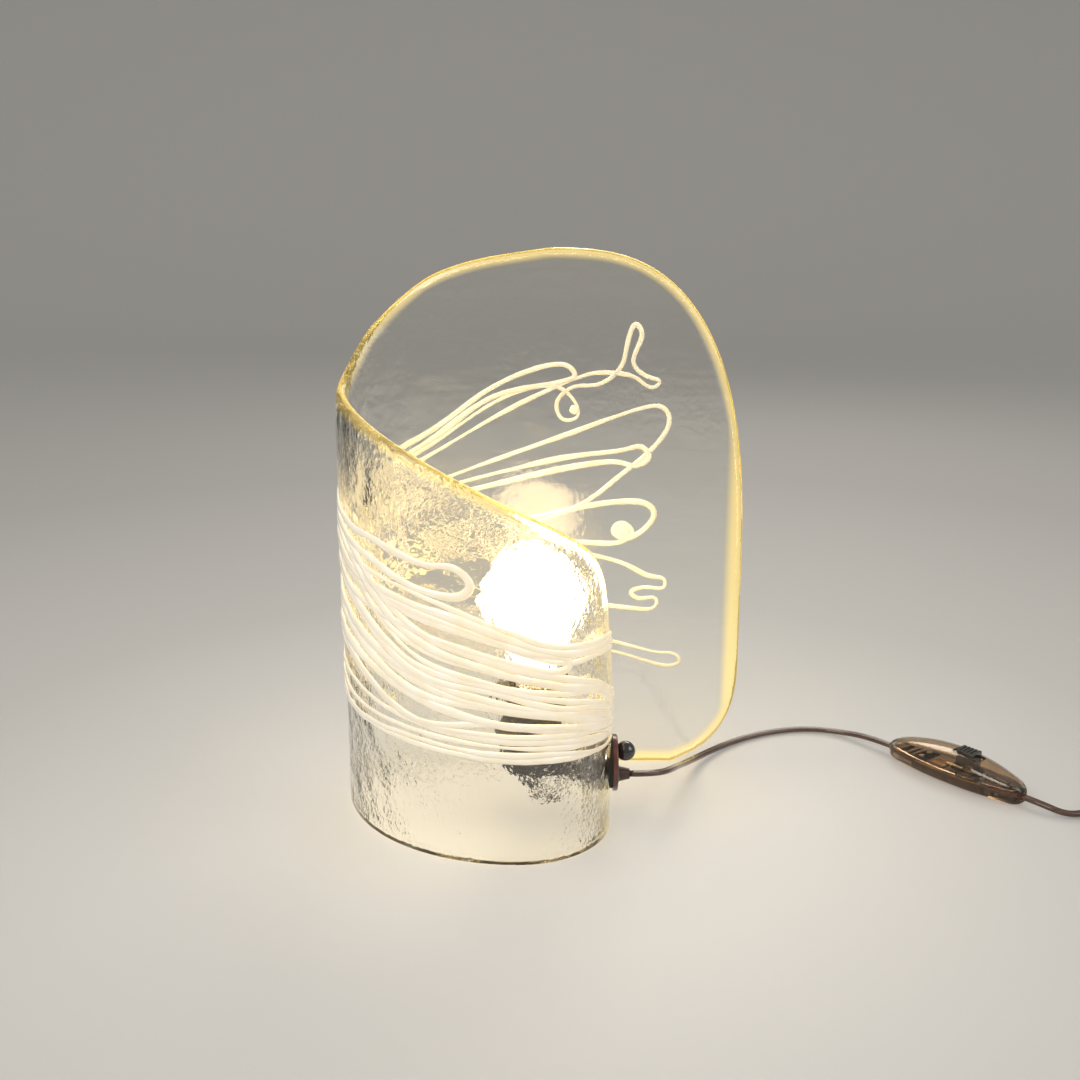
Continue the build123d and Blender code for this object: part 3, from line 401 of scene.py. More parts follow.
def piece(name, verts, faces, finish, body, *nodes, crease=None):
    """A new mesh piece that rides on a body and stands for CAD nodes."""
    mesh = bpy.data.meshes.new(name)
    mesh.from_pydata([tuple(v) for v in verts], [], faces)
    mesh.validate()
    clean(mesh)
    mesh.shade_smooth()
    if crease:
        mesh.set_sharp_from_angle(angle=radians(crease))
    made = bpy.data.objects.new(name, mesh)
    bpy.context.scene.collection.objects.link(made)
    mesh.materials.append(FINISHES[finish])
    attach(made, body)
    if nodes:
        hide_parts(*nodes)
    return made


def cut_away(target, cutter):
    """Boolean cut, applied to the target's mesh."""
    change = target.modifiers.new("cut", "BOOLEAN")
    change.object = cutter
    change.solver = "EXACT"
    bpy.context.view_layer.update()
    graph = bpy.context.evaluated_depsgraph_get()
    mesh = bpy.data.meshes.new_from_object(target.evaluated_get(graph))
    target.modifiers.clear()
    old = target.data
    target.data = mesh
    bpy.data.meshes.remove(old)
    bpy.data.objects.remove(cutter)


def flat(rings):
    """The points of all the rings in one list."""
    return [p for ring in rings for p in ring]


def bridge(rings, closed=True):
    """Faces between rings of equal length, laid one after another."""
    count = len(rings[0])
    last = count if closed else count - 1
    faces = []
    for k in range(len(rings) - 1):
        for i in range(last):
            j = (i + 1) % count
            faces.append((k * count + i, k * count + j, (k + 1) * count + j, (k + 1) * count + i))
    return faces


def capped(rings):
    """Points and faces of a tube of rings with flat ends."""
    size = len(rings[0])
    last = (len(rings) - 1) * size
    ends = [tuple(range(size)), tuple(range(last, last + size))]
    return flat(rings), bridge(rings) + ends


def sheet_point(along, depth, z):
    """Point on the sheet: a length along the outer face, a depth below that face, and a height."""
    if along >= bend_l:
        return Vector((back_c.x + along - bend_l, SHEET_D / 2 - depth, z))
    if along < front_l:
        centre, radius, angle = front_c, FRONT_R, -along / FRONT_R
    elif along < front_l + left_l:
        centre, radius, angle = left_c, left_r, -pi / 2 - (along - front_l) / left_r
    else:
        centre, radius, angle = back_c, BACK_R, LEFT_STOP - pi - (along - front_l - left_l) / BACK_R
    reach = radius - depth
    return Vector((centre.x + reach * cos(angle), centre.y + reach * sin(angle), z))


def smooth(points, t):
    """Height of a smooth curve through (place, height) points."""
    last = len(points) - 1
    i = 0
    while i < last - 1 and t > points[i + 1][0]:
        i += 1

    def slope(k):
        a = points[max(k - 1, 0)]
        b = points[min(k + 1, last)]
        return (b[1] - a[1]) / (b[0] - a[0])

    (x0, y0), (x1, y1) = points[i], points[i + 1]
    span = x1 - x0
    u = min(max((t - x0) / span, 0.0), 1.0)
    start = y0 * (1 + 2 * u) * (1 - u) ** 2 + span * slope(i) * u * (1 - u) ** 2
    return start + y1 * u * u * (3 - 2 * u) + span * slope(i + 1) * u * u * (u - 1)


def eased(value, low, high):
    """0 up to low, 1 from high on, and a soft rise between them."""
    share = min(max((value - low) / (high - low), 0.0), 1.0)
    return share * share * (3 - 2 * share)


def corner(past, length, height, power):
    """How far a rounded corner draws in at a length past its start."""
    share = min(max(past / length, 0.0), 1.0)
    return height * (1 - (1 - share**power) ** (1 / power))


def rim_height(along):
    """Top of the sheet."""
    top = RIM_LOW + (SHEET_H - RIM_LOW) * smooth(RIM, along)
    return top - corner(along - flap_end + FLAP_TOP[0], *FLAP_TOP)


def foot_height(along):
    """Bottom of the sheet: on the floor, but for the corners at its two ends."""
    flap = corner(along - flap_end + FLAP_LOW[0], *FLAP_LOW)
    tip = corner(TIP_LOW[0] - TIP_PAST - along, *TIP_LOW)
    return max(flap + tip - GLASS_T / 4, 0.0)


def slant_of(height, along):
    """How much longer the rim or the foot is than its run along the sheet."""
    slope = (height(along + SLOPE_STEP) - height(along - SLOPE_STEP)) / (2 * SLOPE_STEP)
    return sqrt(1 + slope**2)


def cast_share(along):
    """How strongly the sheet is hammered: full round the front, and calmer on the flap."""
    return 1 - FLAP_CALM * eased(along, *FLAP_FADE)


def cast_noise(layer, along, z, face):
    """One layer of the cast relief, before its height."""
    run, rise, place, shift = layer
    return noise.noise((along / run, z / rise, place + shift * face))


def relief(along, z, face):
    """How far the cast face stands out from the plain one; the outer face is 1 and the inner one -1."""
    swell = cast_noise(SWELL, along, z, face) * SWELL_H
    dents = cast_noise(DENTS, along, z, face) * DENTS_H
    pocks = cast_noise(POCKS, along, z, face) * POCKS_H
    patch = eased(cast_noise(PATCHES, along, z, face), *PATCH_FADE)
    bed = 1.0 if face == 1 else INNER_SHARE
    seat = eased(sqrt(along**2 + (z - FIX_Z) ** 2), *SEAT_FADE)
    return (swell + bed * cast_share(along) * (dents + pocks * patch)) * seat


def end_steps(length, count):
    """Distances from an end of the sheet, close together where its edge is rounded."""
    nose = [EDGE_NOSE * share for share in NOSE_STATIONS]
    swell = [length * (1 - cos(pi / 2 * k / count)) for k in range(1, count + 1)]
    return nose + [d for d in swell if d > NOSE_CLEAR]


def sheet_ring(along):
    """Closed section of the sheet: up the outer face, over the rim, down the inner face, under the foot."""
    half = GLASS_T / 2
    edge = min(along + TIP_PAST, flap_end - along)
    gone = min(edge / EDGE_NOSE, 1.0)
    thick = half * sqrt(max(1 - (1 - gone) ** 2, THINNEST))
    nose_l = EDGE_NOSE * thick / half
    low, high = foot_height(along), rim_height(along)
    longest = NOSE_MOST * (high - low)
    rim_nose = min(nose_l * slant_of(rim_height, along), longest)
    lifted = nose_l * slant_of(foot_height, along)
    foot_nose = min(FOOT_NOSE + (lifted - FOOT_NOSE) * eased(low, 0.0, FOOT_LIFT), longest)
    z_from, z_to = low + foot_nose, high - rim_nose
    points = []
    for side in (1, -1):
        for k in range(SECTION_ROWS + 1):
            share = k / SECTION_ROWS if side == 1 else 1 - k / SECTION_ROWS
            z = z_from + (z_to - z_from) * share
            fade = eased(min(z - low, high - z), *EDGE_CALM) * eased(edge, *EDGE_CALM)
            out = relief(along, z, side) * fade
            points.append(sheet_point(along, half - side * (thick + out), z))
        centre, nose = (z_to, rim_nose) if side == 1 else (z_from, foot_nose)
        for k in range(1, SECTION_TURNS):
            a = pi * k / SECTION_TURNS
            z = centre + side * nose * sin(a)
            points.append(sheet_point(along, half - side * thick * cos(a), z))
    return points


def painted_glow_shares(along, heights):
    """How near a section's points are to the sheet's free edges, for the painted glow: 1 at the edge, 0 a
    little way inwards.
    """
    rim, foot = rim_height(along), foot_height(along)
    rim_slant = slant_of(rim_height, along)
    foot_slant = slant_of(foot_height, along)
    on_floor = FLOOR_EDGE * (1 - eased(along, bend_l, flap_end - FLAP_LOW[0]))
    ends = min(along + TIP_PAST, FLAP_EDGE * (flap_end - along))
    shares = []
    for z in heights:
        inwards = min(ends, RIM_EDGE * (rim - z) / rim_slant, (z - foot) / foot_slant + on_floor)
        shares.append(1 - eased(inwards, *EDGE_FADE))
    return shares


def glass_body():
    """The sheet, drilled in its right bend."""
    tip = [d - TIP_PAST for d in end_steps(*TIP_STATIONS)]
    flap = [flap_end - d for d in end_steps(*FLAP_STATIONS)]
    count = ceil((flap[-1] - tip[-1]) / STATION_STEP)
    middle = [tip[-1] + (flap[-1] - tip[-1]) * k / count for k in range(1, count)]
    stations = tip + middle + flap[::-1]
    rings = [sheet_ring(s) for s in stations]
    size = len(rings[0])
    faces = bridge(rings)
    for first in (0, (len(rings) - 1) * size):
        for i in range(size // 2 - 1):
            faces.append((first + i, first + i + 1, first + size - 2 - i, first + size - 1 - i))
    made = piece("glass_body", flat(rings), faces, "sheet_glass", "lamp", "glass_sheet")
    edges = []
    for s, ring in zip(stations, rings):
        edges += painted_glow_shares(s, [p.z for p in ring])
    casts = [cast_share(s) for s in stations for _ in range(size)]
    for share, values in ((EDGE_GLOW_SHARE, edges), (CAST_SHARE, casts)):
        made.data.attributes.new(share, "FLOAT", "POINT").data.foreach_set("value", values)
    bpy.ops.mesh.primitive_cylinder_add(
        vertices=64,
        radius=HOLE_R,
        depth=HOLE_L,
        location=(glass_out, fix_y, FIX_Z),
        rotation=(0, pi / 2, 0),
    )
    cut_away(made, bpy.context.object)
    made.data.set_sharp_from_angle(angle=radians(GLASS_CREASE))
    return made


# White trails: (length along the sheet, height) on the outer face, the loops on the flap and those in front
LOOPS = (
    (
        (0.325, 0.223), (0.368, 0.253), (0.398, 0.266), (0.416, 0.268), (0.422, 0.261), (0.412, 0.257),
        (0.368, 0.247), (0.325, 0.217),
    ),
    (
        (0.325, 0.214), (0.372, 0.245), (0.406, 0.255), (0.421, 0.246), (0.424, 0.235), (0.414, 0.233),
        (0.410, 0.244), (0.420, 0.254), (0.438, 0.256), (0.451, 0.267), (0.455, 0.284), (0.459, 0.294),
        (0.464, 0.287), (0.458, 0.270), (0.466, 0.261), (0.476, 0.258), (0.470, 0.253), (0.458, 0.261),
        (0.440, 0.263), (0.424, 0.260), (0.380, 0.240), (0.325, 0.208),
    ),
    (
        (0.325, 0.190), (0.362, 0.204), (0.412, 0.222), (0.462, 0.240), (0.478, 0.241), (0.482, 0.231),
        (0.473, 0.216), (0.450, 0.196), (0.428, 0.179), (0.396, 0.166), (0.360, 0.162), (0.325, 0.160),
    ),
    (
        (0.325, 0.185), (0.362, 0.196), (0.412, 0.208), (0.450, 0.213), (0.464, 0.216), (0.470, 0.209),
        (0.461, 0.203), (0.446, 0.206), (0.412, 0.201), (0.362, 0.189), (0.325, 0.179),
    ),
    (
        (0.325, 0.152), (0.380, 0.166), (0.412, 0.173), (0.444, 0.179), (0.467, 0.179), (0.474, 0.171),
        (0.466, 0.160), (0.455, 0.155), (0.447, 0.160), (0.452, 0.166), (0.460, 0.160), (0.450, 0.152),
        (0.412, 0.153), (0.370, 0.150), (0.325, 0.144),
    ),
    (
        (0.325, 0.136), (0.400, 0.147), (0.446, 0.141), (0.470, 0.130), (0.481, 0.128), (0.481, 0.121),
        (0.468, 0.122), (0.459, 0.119), (0.464, 0.114), (0.476, 0.115), (0.474, 0.107), (0.448, 0.109),
        (0.400, 0.116), (0.325, 0.121),
    ),
    (
        (0.325, 0.104), (0.400, 0.096), (0.450, 0.084), (0.476, 0.077), (0.489, 0.076), (0.493, 0.070),
        (0.484, 0.067), (0.466, 0.072), (0.450, 0.077), (0.400, 0.087), (0.325, 0.096),
    ),
    ((0.325, 0.089), (0.352, 0.086), (0.370, 0.081), (0.372, 0.074), (0.356, 0.072), (0.325, 0.078)),
)
FRONT_LOOPS = (
    (
        (0.290, 0.212), (0.213, 0.189), (0.180, 0.185), (0.142, 0.177), (0.122, 0.177), (0.112, 0.168),
        (0.120, 0.160), (0.148, 0.163), (0.181, 0.173), (0.213, 0.181), (0.290, 0.206),
    ),
    (
        (0.290, 0.200), (0.213, 0.172), (0.150, 0.160), (0.120, 0.152), (0.090, 0.141), (0.062, 0.131),
        (0.012, 0.127),
    ),
    (
        (0.290, 0.196), (0.213, 0.166), (0.150, 0.153), (0.120, 0.147), (0.090, 0.137), (0.060, 0.127),
        (0.011, 0.123),
    ),
    (
        (0.290, 0.191), (0.213, 0.160), (0.150, 0.147), (0.100, 0.135), (0.062, 0.122), (0.036, 0.121),
        (0.010, 0.119),
    ),
    (
        (0.290, 0.183), (0.213, 0.152), (0.149, 0.138), (0.100, 0.126), (0.066, 0.117), (0.056, 0.119),
        (0.060, 0.125), (0.082, 0.130), (0.122, 0.143), (0.213, 0.164), (0.290, 0.194),
    ),
)

# Band of strands round the front: lengths along the sheet, and the band's bottom and top there
BAND_AT = (0.014, 0.035, 0.065, 0.100, 0.150, 0.213)
BAND_LOW = (0.060, 0.0615, 0.0645, 0.066, 0.069, 0.073)
BAND_HIGH = (0.092, 0.104, 0.114, 0.124, 0.142, 0.180)

# A strand's start behind the left side, its wander, the lanes where strands gather, and its end
START_AT = 0.278
START_OWN = 0.45
START_BAND = 0.55
START_RISE = 0.004
OUTERMOST = 0.04
OUTERMOST_CALM = 0.35
NOISE_WIDE = 50
WANDER = 0.10
WANDER_RUN = 0.06
LANES = 5.5
LANE_RUN = 0.09
LANE_PLACE = 4.0
GATHER = 0.75
GATHER_RUN = 0.05
GATHER_PLACE = 9.0
GATHER_FADE = (-0.3, 0.3)
END_AT = -0.008
END_SPREAD = 0.010
END_LOOSE = (-0.002, 0.009)
END_DROP = 0.002
END_RISE = 0.030

# Section of a thread: it sits flat on the sheet, uneven along its way and lighter on the flap
THREAD_R = (0.00090, 0.00150)
THREAD_SIDES = 10
THREAD_STEP = 0.0022
THREAD_SMOOTHINGS = 3
THREAD_ACROSS = 1.35
THREAD_OUT = 0.62
THREAD_SEAT = 0.22
THREAD_TIP = 0.15
THREAD_TIP_STEPS = 3
THREAD_FRONT = 1.30
THREAD_LIGHTER = 0.35
THREAD_FADE = (0.20, 0.36)
THREAD_UNEVEN = 0.55
THREAD_UNEVEN_RUN = 0.06
OUT_STEP = 0.001

# Beads: length along the sheet, height and radius
BEADS = (
    (0.454, 0.1605, 0.0044),
    (0.4215, 0.2395, 0.0034),
    (0.134, 0.133, 0.0025),
    (0.026, 0.088, 0.0030),
    (0.022, 0.076, 0.0034),
)
BEAD_PROUD = 0.0012
BEAD_SIDES = 20
BEAD_STEPS = 10
BEAD_UNEVEN = 0.2
BEAD_PLACE = 300


def band_leg(behind, share):
    """One strand round the front, from behind the left side to the right bend, at its share of the band."""
    drift = chance.uniform(0, NOISE_WIDE)
    inner = 1.0 if OUTERMOST < share < 1 - OUTERMOST else OUTERMOST_CALM
    in_band = BAND_LOW[-1] + share * (BAND_HIGH[-1] - BAND_LOW[-1])
    leg = [(START_AT, START_OWN * behind + START_BAND * in_band + START_RISE)]
    for s, low, high in zip(BAND_AT[::-1], BAND_LOW[::-1], BAND_HIGH[::-1]):
        place = share + WANDER * inner * noise.noise((s / WANDER_RUN, drift, 0.0))
        lane = round(place * LANES + noise.noise((s / LANE_RUN, LANE_PLACE, 0.0))) / LANES
        pull = eased(noise.noise((s / GATHER_RUN, drift, GATHER_PLACE)), *GATHER_FADE)
        gather = GATHER * inner * pull
        place = min(max(place + gather * (lane - place), 0.0), 1.0)
        leg.append((s, low + place * (high - low)))
    stop = END_AT + END_SPREAD * share + chance.uniform(*END_LOOSE)
    leg.append((stop, BAND_LOW[0] - END_DROP + share * END_RISE))
    return leg


def trail_lines():
    """Every trail as a line of points: a loop on the flap with its two strands carried round the front."""
    ends = sorted(z for loop in LOOPS for z in (loop[0][1], loop[-1][1]))
    lines = [list(line) for line in FRONT_LOOPS]
    for loop in LOOPS:
        first, last = (band_leg(z, ends.index(z) / (len(ends) - 1)) for z in (loop[0][1], loop[-1][1]))
        lines.append(first[::-1] + list(loop) + last)
    return lines


def flowing(points, step):
    """Points close together on a smooth curve through the given ones."""
    line = []
    ends = [points[0], *points, points[-1]]
    for a, b, c, d in zip(ends, ends[1:], ends[2:], ends[3:]):
        p = [Vector(q) for q in (a, b, c, d)]
        count = max(2, ceil((p[2] - p[1]).length / step))
        for k in range(count):
            t = k / count
            line.append(
                0.5
                * (
                    2 * p[1]
                    + (p[2] - p[0]) * t
                    + (2 * p[0] - 5 * p[1] + 4 * p[2] - p[3]) * t * t
                    + (3 * p[1] - p[0] - 3 * p[2] + p[3]) * t**3
                )
            )
    line.append(Vector(points[-1]))
    for _ in range(THREAD_SMOOTHINGS):
        between = [(a + 2 * b + c) / 4 for a, b, c in zip(line, line[1:], line[2:])]
        line = [line[0], *between, line[-1]]
    return line


def bead(along, z, radius):
    """Rings of a flattened drop of glass on the outer face."""
    face = relief(along, z, 1)
    rings = []
    for k in range(1, BEAD_STEPS):
        tilt = pi * k / BEAD_STEPS
        depth = -face - BEAD_PROUD * cos(tilt)
        ring = []
        for i in range(BEAD_SIDES):
            a = 2 * pi * i / BEAD_SIDES
            uneven = 1 + BEAD_UNEVEN * noise.noise((cos(a), sin(a), BEAD_PLACE * along))
            reach = radius * sin(tilt) * uneven
            ring.append(sheet_point(along + reach * cos(a), depth, z + reach * sin(a)))
        rings.append(ring)
    return rings


def outwards(along, z):
    """Direction square to the outer face."""
    return (sheet_point(along, -OUT_STEP, z) - sheet_point(along, 0.0, z)).normalized()


def thread(points):
    """Rings of one trail on the outer face."""
    thick = chance.uniform(*THREAD_R)
    phase = chance.uniform(0, NOISE_WIDE)
    line = flowing(points, THREAD_STEP)
    places = [sheet_point(s, -relief(s, z, 1) - THREAD_SEAT * thick, z) for s, z in line]
    last = len(line) - 1
    rings = []
    for i, place in enumerate(places):
        s, z = line[i]
        ahead = (places[min(i + 1, last)] - places[max(i - 1, 0)]).normalized()
        out = outwards(s, z)
        across = ahead.cross(out).normalized()
        taper = sqrt(min(1.0, (min(i, last - i) + THREAD_TIP) / THREAD_TIP_STEPS))
        heavy = THREAD_FRONT - THREAD_LIGHTER * eased(s, *THREAD_FADE)
        uneven = 1 + THREAD_UNEVEN * noise.noise((i * THREAD_UNEVEN_RUN, phase, 1.0))
        size = thick * taper * heavy * uneven
        ring = []
        for k in range(THREAD_SIDES):
            a = 2 * pi * k / THREAD_SIDES
            beside = across * (THREAD_ACROSS * size * cos(a))
            ring.append(place + beside + out * (THREAD_OUT * size * sin(a)))
        rings.append(ring)
    return rings


def white_threads():
    """All the trails and their beads."""
    strands = [bead(*drop) for drop in BEADS]
    strands += [thread(line) for line in trail_lines()]
    verts, faces = [], []
    for rings in strands:
        base = len(verts)
        points, around = capped(rings)
        verts += points
        faces += [tuple(base + i for i in face) for face in around]
    return piece("white_threads", verts, faces, "white_glass", "lamp", "white_trails")


# Lampholder's cup
CUP_H = 0.022
CUP_BORE_R = 0.0050
CUP_WELL_R = 0.0139
CUP_FLOOR = 0.0065
CUP_EDGE = 0.0018
CUP_EDGE_STEPS = 6
CUP_LINES = (0.008, 0.0105)
CUP_LINE = 0.0004
SPIGOT_R = 0.0180
INSERT_R = 0.0169
INSERT_DEEP = 0.006


def lathe(name, profile, place, finish, body, *nodes, segments=72, crease=35):
    """Open (radius, height) profile turned about a vertical axis; ends that lie on the axis close."""
    rings = []
    for radius, height in profile:
        ring = []
        for k in range(segments):
            a = 2 * pi * k / segments
            ring.append(place + Vector((radius * cos(a), radius * sin(a), height)))
        rings.append(ring)
    made = piece(name, flat(rings), bridge(rings), finish, body, *nodes, crease=crease)
    clean(made.data, WELD)
    return made


def arc(centre, radius, start, end, count):
    """Points of a round in a profile; angles in degrees, from the radius axis towards the height axis."""
    steps = [radians(start + (end - start) * k / count) for k in range(count + 1)]
    return [(centre[0] + radius * cos(a), centre[1] + radius * sin(a)) for a in steps]


def bulb_shell():
    """The bulb's glass: a ball, a cone, and an elbow into the neck."""
    mid = bulb_middle.z
    cone = radians(BULB_CONE)
    end = (BULB_R * cos(cone), mid - BULB_R * sin(cone))
    foot_z = end[1] - (end[0] - BULB_NECK) / (sin(cone) / cos(cone))
    reach = BULB_ELBOW * sin(pi / 4 - cone / 2) / cos(pi / 4 - cone / 2)
    elbow = (BULB_NECK + BULB_ELBOW, foot_z - reach)
    profile = arc((0, mid), BULB_R, 90, -BULB_CONE, BULB_STEPS)
    profile += arc(elbow, BULB_ELBOW, 90 + BULB_CONE, 180, ELBOW_STEPS)
    profile += [(BULB_NECK, bulb_low.z)]
    return lathe(
        "bulb_shell", profile, holder_at, "bulb_glass", "bulb", "bulb_envelope", segments=96, crease=None
    )


def holder_cup():
    """Lower half of the lampholder: a flat-bottomed cup with two turned lines."""
    low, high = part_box("holder_cap")
    radius = (high.x - low.x) / 2
    groove = radius - CUP_LINE
    rim = low.z + CUP_H
    seat = rim - INSERT_DEEP
    floor = low.z + CUP_FLOOR
    profile = [(CUP_BORE_R, low.z)]
    profile += arc((radius - CUP_EDGE, low.z + CUP_EDGE), CUP_EDGE, -90, 0, CUP_EDGE_STEPS)
    for rise in CUP_LINES:
        z = low.z + rise
        profile += [(radius, z - 2 * CUP_LINE), (groove, z - CUP_LINE)]
        profile += [(groove, z + CUP_LINE), (radius, z + 2 * CUP_LINE)]
    profile += [(radius, rim - 2 * CUP_LINE), (groove, rim), (SPIGOT_R, rim), (SPIGOT_R, high.z)]
    profile += [(INSERT_R, high.z), (INSERT_R, seat), (CUP_WELL_R, seat)]
    profile += [(CUP_WELL_R, floor), (CUP_BORE_R, floor), (CUP_BORE_R, low.z)]
    return lathe("holder_cup", profile, holder_at, "holder_plastic", "lamp", "holder_cap")


# Flex: its flat twin section
FLEX_W = 0.005
FLEX_H = 0.0032
FLEX_SIDES = 20
FLEX_WAIST = 0.30
FLEX_WAIST_POWER = 8
FLEX_ROUND = 0.45

# Flex: the route's points, as laid out with the switch, the coil and the plug
bush_low, bush_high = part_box("cord_bush")
FLEX_EXIT = Vector((bush_high.x, fix_y, (bush_low.z + bush_high.z) / 2))
EXIT_RUN = 0.011
LAMP_FLEX = (
    (0.0720, -0.0135, 0.0305),
    (0.0785, 0.0005, 0.0263),
    (0.0832, 0.0170, 0.0203),
    (0.0890, 0.0360, 0.0130),
    (0.0976, 0.0555, 0.0074),
    (0.1095, 0.0735, 0.0044),
    (0.1245, 0.0905, 0.0029),
    (0.1435, 0.1050, 0.00265),
    (0.1660, 0.1155, 0.0026),
    (0.1890, 0.1185, 0.00265),
    (0.2095, 0.1115, 0.0030),
)
SWITCH_RUN = 0.019
SWITCH_IN = -0.004
PLUG_FLEX = (
    (0.3195, -0.0155, 0.0029),
    (0.3330, -0.0135, 0.00265),
    (0.3470, -0.0050, 0.0030),
)
TAIL_FLEX = (
    (0.4060, -0.0020, 0.0084),
    (0.4210, -0.0085, 0.0077),
)
COIL_RUN = 0.013
RELIEF_RUN = 0.012
RELIEF_IN = -0.004
COIL_AT = (0.375, -0.0357)
COIL_R = 0.029
COIL_TURNS = 7
COIL_PITCH = 0.0056
COIL_LIFT = 0.0015
COIL_STEPS = 24
COIL_NUDGE = 0.001
FLOOR_GAP = 0.0001
SWITCH_AT = Vector((0.2685, 0.041, FLOOR_GAP))
SWITCH_TURN = radians(-51.5)
SWITCH_L = 0.100
SWITCH_ENTRY_Z = 0.006
PLUG_AT = Vector((0.428, -0.054, 0.0069))
PLUG_TURN = radians(-90.0)
RELIEF_L = 0.024


def switch_place(point):
    """A point of the switch's own frame, where the switch lies."""
    return SWITCH_AT + Matrix.Rotation(SWITCH_TURN, 3, "Z") @ Vector(point)


def switch_end(side, out=0.0):
    """Where the flex enters the switch, or a length out from there."""
    return switch_place((side * (SWITCH_L / 2 + out), 0, SWITCH_ENTRY_Z))


def relief_end(out=0.0):
    """Where the flex enters the plug's relief, or a length out from there."""
    return PLUG_AT + Matrix.Rotation(PLUG_TURN, 3, "Z") @ Vector((-RELIEF_L - out, 0, 0))


def coil_point(turn):
    """Centre of the flex in the coil: it spirals in, climbs a layer in half a turn, and spirals out."""
    half = COIL_TURNS / 2
    inner = COIL_R - COIL_PITCH * COIL_TURNS / 4
    radius = inner + COIL_PITCH * abs(turn - half)
    climb = min(max(2 * (turn - half) + 0.5, 0), 1)
    z = COIL_LIFT + FLEX_W / 2 + COIL_PITCH * climb * climb * (3 - 2 * climb)
    angle = pi / 2 - 2 * pi * turn
    return Vector((COIL_AT[0] + radius * cos(angle), COIL_AT[1] + radius * sin(angle), z))


def coil_reach(turn):
    """Outside of the flex from the coil's middle."""
    middle = Vector((*COIL_AT, 0))
    away = coil_point(turn) - middle
    return Vector((away.x, away.y)).length + FLEX_W / 2


def coil_way(turn):
    """Direction of the flex in the coil."""
    return (coil_point(turn + COIL_NUDGE) - coil_point(turn - COIL_NUDGE)).normalized()


def route_line(points):
    """Points read from the smooth spline that has the route as its control points."""
    curve = bpy.data.curves.new("route", "CURVE")
    curve.dimensions = "3D"
    spline = curve.splines.new("NURBS")
    spline.points.add(len(points) - 1)
    for point, place in zip(spline.points, points):
        point.co = (*place, 1)
    spline.order_u = 3
    spline.use_endpoint_u = True
    spline.resolution_u = 6
    route = bpy.data.objects.new("route", curve)
    bpy.context.scene.collection.objects.link(route)
    bpy.context.view_layer.update()
    graph = bpy.context.evaluated_depsgraph_get()
    mesh = bpy.data.meshes.new_from_object(route.evaluated_get(graph))
    line = [v.co.copy() for v in mesh.vertices]
    bpy.data.objects.remove(route)
    bpy.data.meshes.remove(mesh)
    bpy.data.curves.remove(curve)
    return [p for i, p in enumerate(line) if i == 0 or (p - line[i - 1]).length > WELD]


def twin_section():
    """Outline of two cores side by side under one skin: (across, up)."""
    outline = []
    for k in range(FLEX_SIDES):
        a = 2 * pi * k / FLEX_SIDES
        waist = 1 - FLEX_WAIST * sin(a) ** FLEX_WAIST_POWER
        up = FLEX_H / 2 * sin(a) * waist * (1 + FLEX_ROUND * cos(a) ** 2)
        outline.append((FLEX_W / 2 * cos(a), up))
    return outline


def twin_flex(name, points, *nodes):
    """The flat twin flex along a route, lying on its flat."""
    line = route_line(points)
    section = twin_section()
    rings = []
    last = len(line) - 1
    for i, place in enumerate(line):
        along = (line[min(i + 1, last)] - line[max(i - 1, 0)]).normalized()
        across = along.cross(Vector((0, 0, 1))).normalized()
        up = across.cross(along).normalized()
        rings.append([place + across * x + up * y for x, y in section])
    made = piece(name, *capped(rings), "brown_flex", "lamp", *nodes)
    return made, line


def length_of(line):
    """Length of a line of points."""
    return sum((b - a).length for a, b in zip(line, line[1:]))


def flex():
    """Both lengths of flex, the plug side running into the plug's relief, with the switch's two shells and
    the strap that they carry.
    """
    lamp_route = [FLEX_EXIT, FLEX_EXIT + Vector((EXIT_RUN, 0, 0)), *map(Vector, LAMP_FLEX)]
    lamp_route += [switch_end(-1, SWITCH_RUN), switch_end(-1, SWITCH_IN)]
    lamp_side, lamp_line = twin_flex("flex_lamp_side", lamp_route, "lamp_flex")
    coil = [coil_point(k / COIL_STEPS) for k in range(COIL_TURNS * COIL_STEPS + 1)]
    plug_route = [switch_end(1, SWITCH_IN), switch_end(1, COIL_RUN), *map(Vector, PLUG_FLEX)]
    plug_route += [coil[0] - coil_way(0) * COIL_RUN, *coil, coil[-1] + coil_way(COIL_TURNS) * COIL_RUN]
    plug_route += [*map(Vector, TAIL_FLEX), relief_end(RELIEF_RUN), relief_end(RELIEF_IN)]
    plug_side, plug_line = twin_flex("flex_plug_side", plug_route, "plug_flex", "cord_coil", "tail_flex")
    tray = switch_shell("switch_tray", False, "switch_lower")
    cover = switch_shell("switch_cover", True, "switch_upper")
    strap = coil_strap()
    round(length_of(lamp_line), 4)
    round(length_of(plug_line), 4)


# In-line switch: sizes in its own frame, along X; its side and its back at the ends and in the middle
SWITCH_SIDE = (0.0055, 0.0140)
SWITCH_BACK = (0.0120, 0.0215)
SWITCH_SPLIT = 0.0100
SWITCH_WALL = 0.0018
SWITCH_END_WALLS = 1.5
SWITCH_NOSE = 0.0070
SWITCH_TIP = 0.50
SWITCH_LIP = 0.001
SWITCH_PARTING = 0.00015
SWITCH_SIDES = 24
SWITCH_STEPS = 64
HOLLOW_STEPS = 48
SWITCH_CREASE = 40.0
COVER_POWER = 2.6
TRAY_POWER = 4.5
SLIDER_AT = 0.009
SLOT = (0.0196, 0.0086)


def bowed(ends_and_middle, x):
    """A side that bows along a circle from its size at the ends to its size in the middle."""
    ends, middle = ends_and_middle
    rise = middle - ends
    radius = ((SWITCH_L / 2) ** 2 + rise**2) / (2 * rise)
    return middle - radius + sqrt(radius**2 - x**2)


